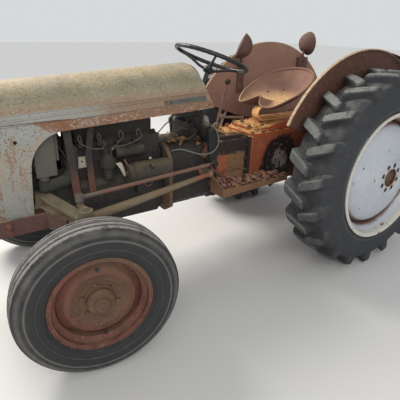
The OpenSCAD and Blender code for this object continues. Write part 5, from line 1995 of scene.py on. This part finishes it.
@dataclass
class Engine:
    """Plates, rods, wires, terminals and bolts round the engine."""

    plate: tuple[Pair, ...] = (
        (-31, -27), (-26, -31), (14, -30), (28, -33), (32, -24), (29, 20), (24, 29), (2, 26), (-22, 31),
        (-32, 22),
    )
    blade: tuple[Pair, ...] = ((43, 0), (53, 0), (46, 36), (34, 73), (26, 80), (1, 77), (22, 46))
    oval: Pair = (21, 40)
    terminals: tuple[Triple, ...] = ((1507, 150, 846), (1322, 198, 781))
    neck: Route = Route(4.0, 8, 4, ((874, 58, 868), (870, 58, 836), (868, 60, 798)))
    rods: tuple[Route, ...] = (
        Route(
            4.5, 10, 5,
            ((1461, 192, 790), (1461, 200, 783), (1432, 204, 728), (1403, 200, 673), (1396, 180, 662)),
        ),
        Route(
            3.4, 10, 5,
            ((1237, 172, 762), (1240, 194, 752), (1262, 196, 712), (1278, 192, 676), (1280, 172, 668)),
        ),
        Route(
            2.6, 8, 5,
            ((1368, 160, 655), (1360, 188, 650), (1334, 192, 622), (1302, 188, 640), (1296, 160, 646)),
        ),
    )
    wires: tuple[Route, ...] = (
        Route(
            3.2, 8, 6,
            ((962, 70, 930), (1010, 96, 948), (1090, 120, 900), (1180, 118, 850), (1222, 110, 840)),
        ),
        Route(
            3.2, 8, 6,
            ((962, 40, 900), (1030, 84, 880), (1120, 60, 925), (1196, 70, 880), (1222, 60, 850)),
        ),
        Route(
            3.6, 8, 6,
            ((962, 100, 880), (1020, 132, 842), (1100, 140, 838), (1190, 128, 860), (1222, 122, 846)),
        ),
    )

    def plates(self) -> None:
        """Makes the plates, the terminals and the dark stud and neck that go with them."""
        pale = Form()
        pale.plate(self.plate, from_axle(1659, 124, 792), (-1, 0, 0), (0, 0, 1), 3.0)
        pale.plate(self.blade, from_axle(1512, 192, 703), (-1, 0, 0), (0, 0, 1), 3.0)
        for place in self.terminals:
            pale.lathe([(7, -3), (7, 5), (5, 7)], from_axle(*place), (0, 1, 0), 12)
        turns = [math.tau * step / 20 for step in range(20)]
        oval = [(self.oval[0] * math.cos(turn), self.oval[1] * math.sin(turn)) for turn in turns]
        pale.plate(oval, from_axle(878, 60, 899), (-0.7, 0.7, 0.1), (0.15, 0, 1), 3.0)
        pale.piece("engine_plates", "chassis", Shop.PLATE)
        dark = Form()
        dark.lathe([(5, -1), (5, 0.8)], from_axle(1659, 127, 794), (0, 1, 0), 16)
        self.neck.lay(dark)
        dark.piece("engine_plate_studs", "chassis", Shop.DARK)

    def lines(self, name: str, routes: Sequence[Route], finish: Shop) -> None:
        """Makes one piece of several rods or wires."""
        form = Form()
        for route in routes:
            route.lay(form)
        form.piece(name, "chassis", finish)

    def build(self) -> None:
        """Makes all of it."""
        self.plates()
        self.lines("engine_rods", self.rods, Shop.LEVER)
        self.lines("engine_wires", self.wires, Shop.WIRE)
        bolts = Form()
        BoltRow("cylinder_head", grid(range(1235, 1690, 74), (70,), (1000,)), (0, 0, -1), 19, 12).fix(bolts)
        BoltRow("engine_block", grid(range(1230, 1690, 64), (300,), (575,)), (0, -1, 0), 14, 8).fix(bolts)
        bolts.piece("engine_bolts", "chassis", Shop.DARK_BOLT)


@dataclass
class Fittings:
    """Bolts of the lamps, bumper, axle, steering box and kingpins, and the dead leaves."""

    left_leaves: int = 120
    right_leaves: int = 24
    casing_leaves: int = 34
    lamp_bolts: tuple[Pair, ...] = ((233, 990), (233, 1060), (233, 1140), (-409, 1115), (-409, 1180))
    brown_share: float = 0.85

    def bolts(self) -> None:
        """Sets the remaining bolt heads."""
        rusty = Form()
        starts = [from_axle(x, -300, z) for x, z in self.lamp_bolts]
        Surface("lamps").bolts(rusty, starts, (0, -1, 0), 17, 10)
        BoltRow("bumper", grid((2050,), (420,), (585, 615)), (0, -1, 0), 20, 12).fix(rusty)
        BoltRow("front_axle", grid((1738,), (180, 260, 340), (800,)), (0, 0, -1), 20, 12).fix(rusty)
        BoltRow("steering_box", grid((905, 965), (300,), (760, 830)), (0, -1, 0), 14, 8).fix(rusty)
        for side, name in ((1, "left"), (-1, "right")):
            start = Vector((REAR_AXLE_X + FRONT_AXLE, side * KINGPIN_Y, 0.9))
            kingpin = Form()
            kingpin.bolt(Surface(f"spindle_{name}").hit(start, (0, 0, -1)), (0, 0, 1), 24, 12)
            kingpin.piece(f"kingpin_nut_{name}", f"spindle_{name}", Shop.KNUCKLE)
        rusty.piece("frame_bolts", "chassis", Shop.BOLT)

    def litter(self) -> None:
        """Scatters dead leaves on both steps, most on the left one, and golden ones on the casing."""
        chance = random.Random(11)
        step = Surface("footrests")
        brown, golden = Form(), Form()
        for count in range(self.left_leaves + self.right_leaves):
            side = 1 if count < self.left_leaves else -1
            x = 442 + 478 * chance.random() ** 0.8
            y = side * (232 + 100 * chance.random())
            low = step.hit(from_axle(x, y, 800), (0, 0, -1))
            rise = (3 + 20 * chance.random() * (0.4 + 0.6 * (x - 440) / 480)) / 1000
            length = 24 + 26 * chance.random()
            chosen = brown if chance.random() < self.brown_share else golden
            turn = math.tau * chance.random()
            lean = 0.9 * (chance.random() - 0.5)
            curl = 0.2 + 0.8 * chance.random()
            chosen.leaf(low + Vector((0, 0, rise)), turn, lean, length, curl)
        casing = Surface("gearbox")
        for _ in range(self.casing_leaves):
            x = 900 + 260 * chance.random()
            y = (60 + 90 * chance.random()) * (1 if chance.random() < 0.75 else -1)
            low = casing.hit(from_axle(x, y, 1000), (0, 0, -1))
            length = 22 + 26 * chance.random()
            turn = math.tau * chance.random()
            lean = 0.4 * (chance.random() - 0.5)
            golden.leaf(low + Vector((0, 0, 0.004)), turn, lean, length, 0.5)
        brown.piece("brown_leaves", "chassis", Shop.LEAF, 80.0)
        golden.piece("golden_leaves", "chassis", Shop.LEAF_GOLD, 80.0)

    def build(self) -> None:
        """Makes all of it."""
        self.bolts()
        self.litter()


def dress_tractor() -> None:
    """Makes every piece of the scene, one sub-assembly after another."""
    Seat().build()
    SteeringWheel().build()
    for left in (True, False):
        RearTyre().build(left)
        RearWheel().build(left)
        FrontWheel().build(left)
    HoodTrim().build()
    Transmission().build()
    Engine().build()
    Fittings().build()


# Studio


@dataclass
class Studio:
    """The camera, the pale floor and the soft lights."""

    place: Vector = field(default_factory=lambda: from_axle(2227.1, 2003.4, 1426.3))
    yaw: float = -2.1691
    pitch: float = 0.4137
    roll: float = 0.0281
    lens_mm: float = 35.85
    floor_side: float = 60.0
    floor_colour: Colour = (0.74, 0.74, 0.73)
    floor_glow: Colour = (0.26, 0.26, 0.26)
    glow_reach: Pair = (2.0, 9.0)
    aim: Triple = (0.0, 0.0, 0.6)
    key_watts: float = 330.0
    fill_watts: float = 165.0
    sky: Colour = (0.92, 0.93, 0.95)
    sky_strength: float = 0.50
    backdrop: Colour = (0.68, 0.69, 0.70)

    def camera(self) -> None:
        """Stands the camera where the photograph was taken."""
        heading = Matrix.Rotation(self.yaw - math.pi / 2, 4, "Z")
        level = heading @ Matrix.Rotation(math.pi / 2 - self.pitch, 4, "X")
        data = bpy.data.cameras.new("camera")
        data.lens = self.lens_mm
        data.sensor_width = 36.0
        made = bpy.data.objects.new("camera", data)
        made.matrix_world = Matrix.Translation(self.place) @ level @ Matrix.Rotation(self.roll, 4, "Z")
        bpy.context.scene.collection.objects.link(made)
        bpy.context.scene.camera = made

    def floor(self) -> None:
        """Lays the floor, which the camera alone sees glow in the distance."""
        mesh = bpy.data.meshes.new("floor")
        half = self.floor_side / 2
        mesh.from_pydata(
            [(-half, -half, 0), (half, -half, 0), (half, half, 0), (-half, half, 0)], [], [(0, 1, 2, 3)]
        )
        made = bpy.data.objects.new("floor", mesh)
        bpy.context.scene.collection.objects.link(made)
        material = bpy.data.materials.new("floor")
        graph = Graph(material)
        seen = Signal(graph, graph.node("ShaderNodeLightPath", {}, {}).outputs["Is Camera Ray"])
        far = graph.distance(graph.x, graph.y).rise(*self.glow_reach)
        glow = graph.mix(seen * far, (0.0, 0.0, 0.0), self.floor_glow)
        graph.finish(self.floor_colour, 0.9, glow=glow)
        mesh.materials.append(material)

    def lamp(self, name: str, place: Sequence[float], watts: float, size: float, colour: Colour) -> None:
        """Hangs one square soft lamp that faces the tractor's middle.

        Args:
            name: The lamp's name.
            place: Where it hangs, in metres.
            watts: Its power.
            size: Its side in metres.
            colour: Its colour.
        """
        data = bpy.data.lights.new(name, "AREA")
        data.energy = watts
        data.size = size
        data.color = colour
        made = bpy.data.objects.new(name, data)
        made.location = place
        aim = Vector(self.aim) - Vector(place)
        made.rotation_euler = aim.to_track_quat("-Z", "Y").to_euler()
        bpy.context.scene.collection.objects.link(made)

    def build(self) -> None:
        """Sets up everything around the tractor."""
        self.camera()
        self.floor()
        self.lamp("key", (2.2, -3.4, 4.4), self.key_watts, 2.2, (1.0, 0.95, 0.87))
        self.lamp("fill", (2.6, 5.2, 3.6), self.fill_watts, 5.0, (1.0, 0.98, 0.95))
        self.world()
        bpy.context.scene.view_settings.view_transform = "Standard"

    def world(self) -> None:
        """Lights the scene from a pale sky, and shows the camera a plain backdrop instead."""
        world = bpy.data.worlds.new("world")
        bpy.context.scene.world = world
        world.use_nodes = True
        tree = world.node_tree
        sky = tree.nodes["Background"]
        sky.inputs[0].default_value = (*self.sky, 1.0)
        sky.inputs[1].default_value = self.sky_strength
        pale = tree.nodes.new("ShaderNodeBackground")
        pale.inputs[0].default_value = (*self.backdrop, 1.0)
        path = tree.nodes.new("ShaderNodeLightPath")
        choice = tree.nodes.new("ShaderNodeMixShader")
        tree.links.new(path.outputs["Is Camera Ray"], choice.inputs[0])
        tree.links.new(sky.outputs[0], choice.inputs[1])
        tree.links.new(pale.outputs[0], choice.inputs[2])
        tree.links.new(choice.outputs[0], tree.nodes["World Output"].inputs[0])


def main() -> None:
    """Builds the scene in order."""
    logging.basicConfig(level=logging.INFO, format="%(message)s")
    Studio().build()
    coat_nodes()
    LOG.info("coated %d nodes", len(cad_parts))
    dress_tractor()


if __name__ == "__main__":
    main()
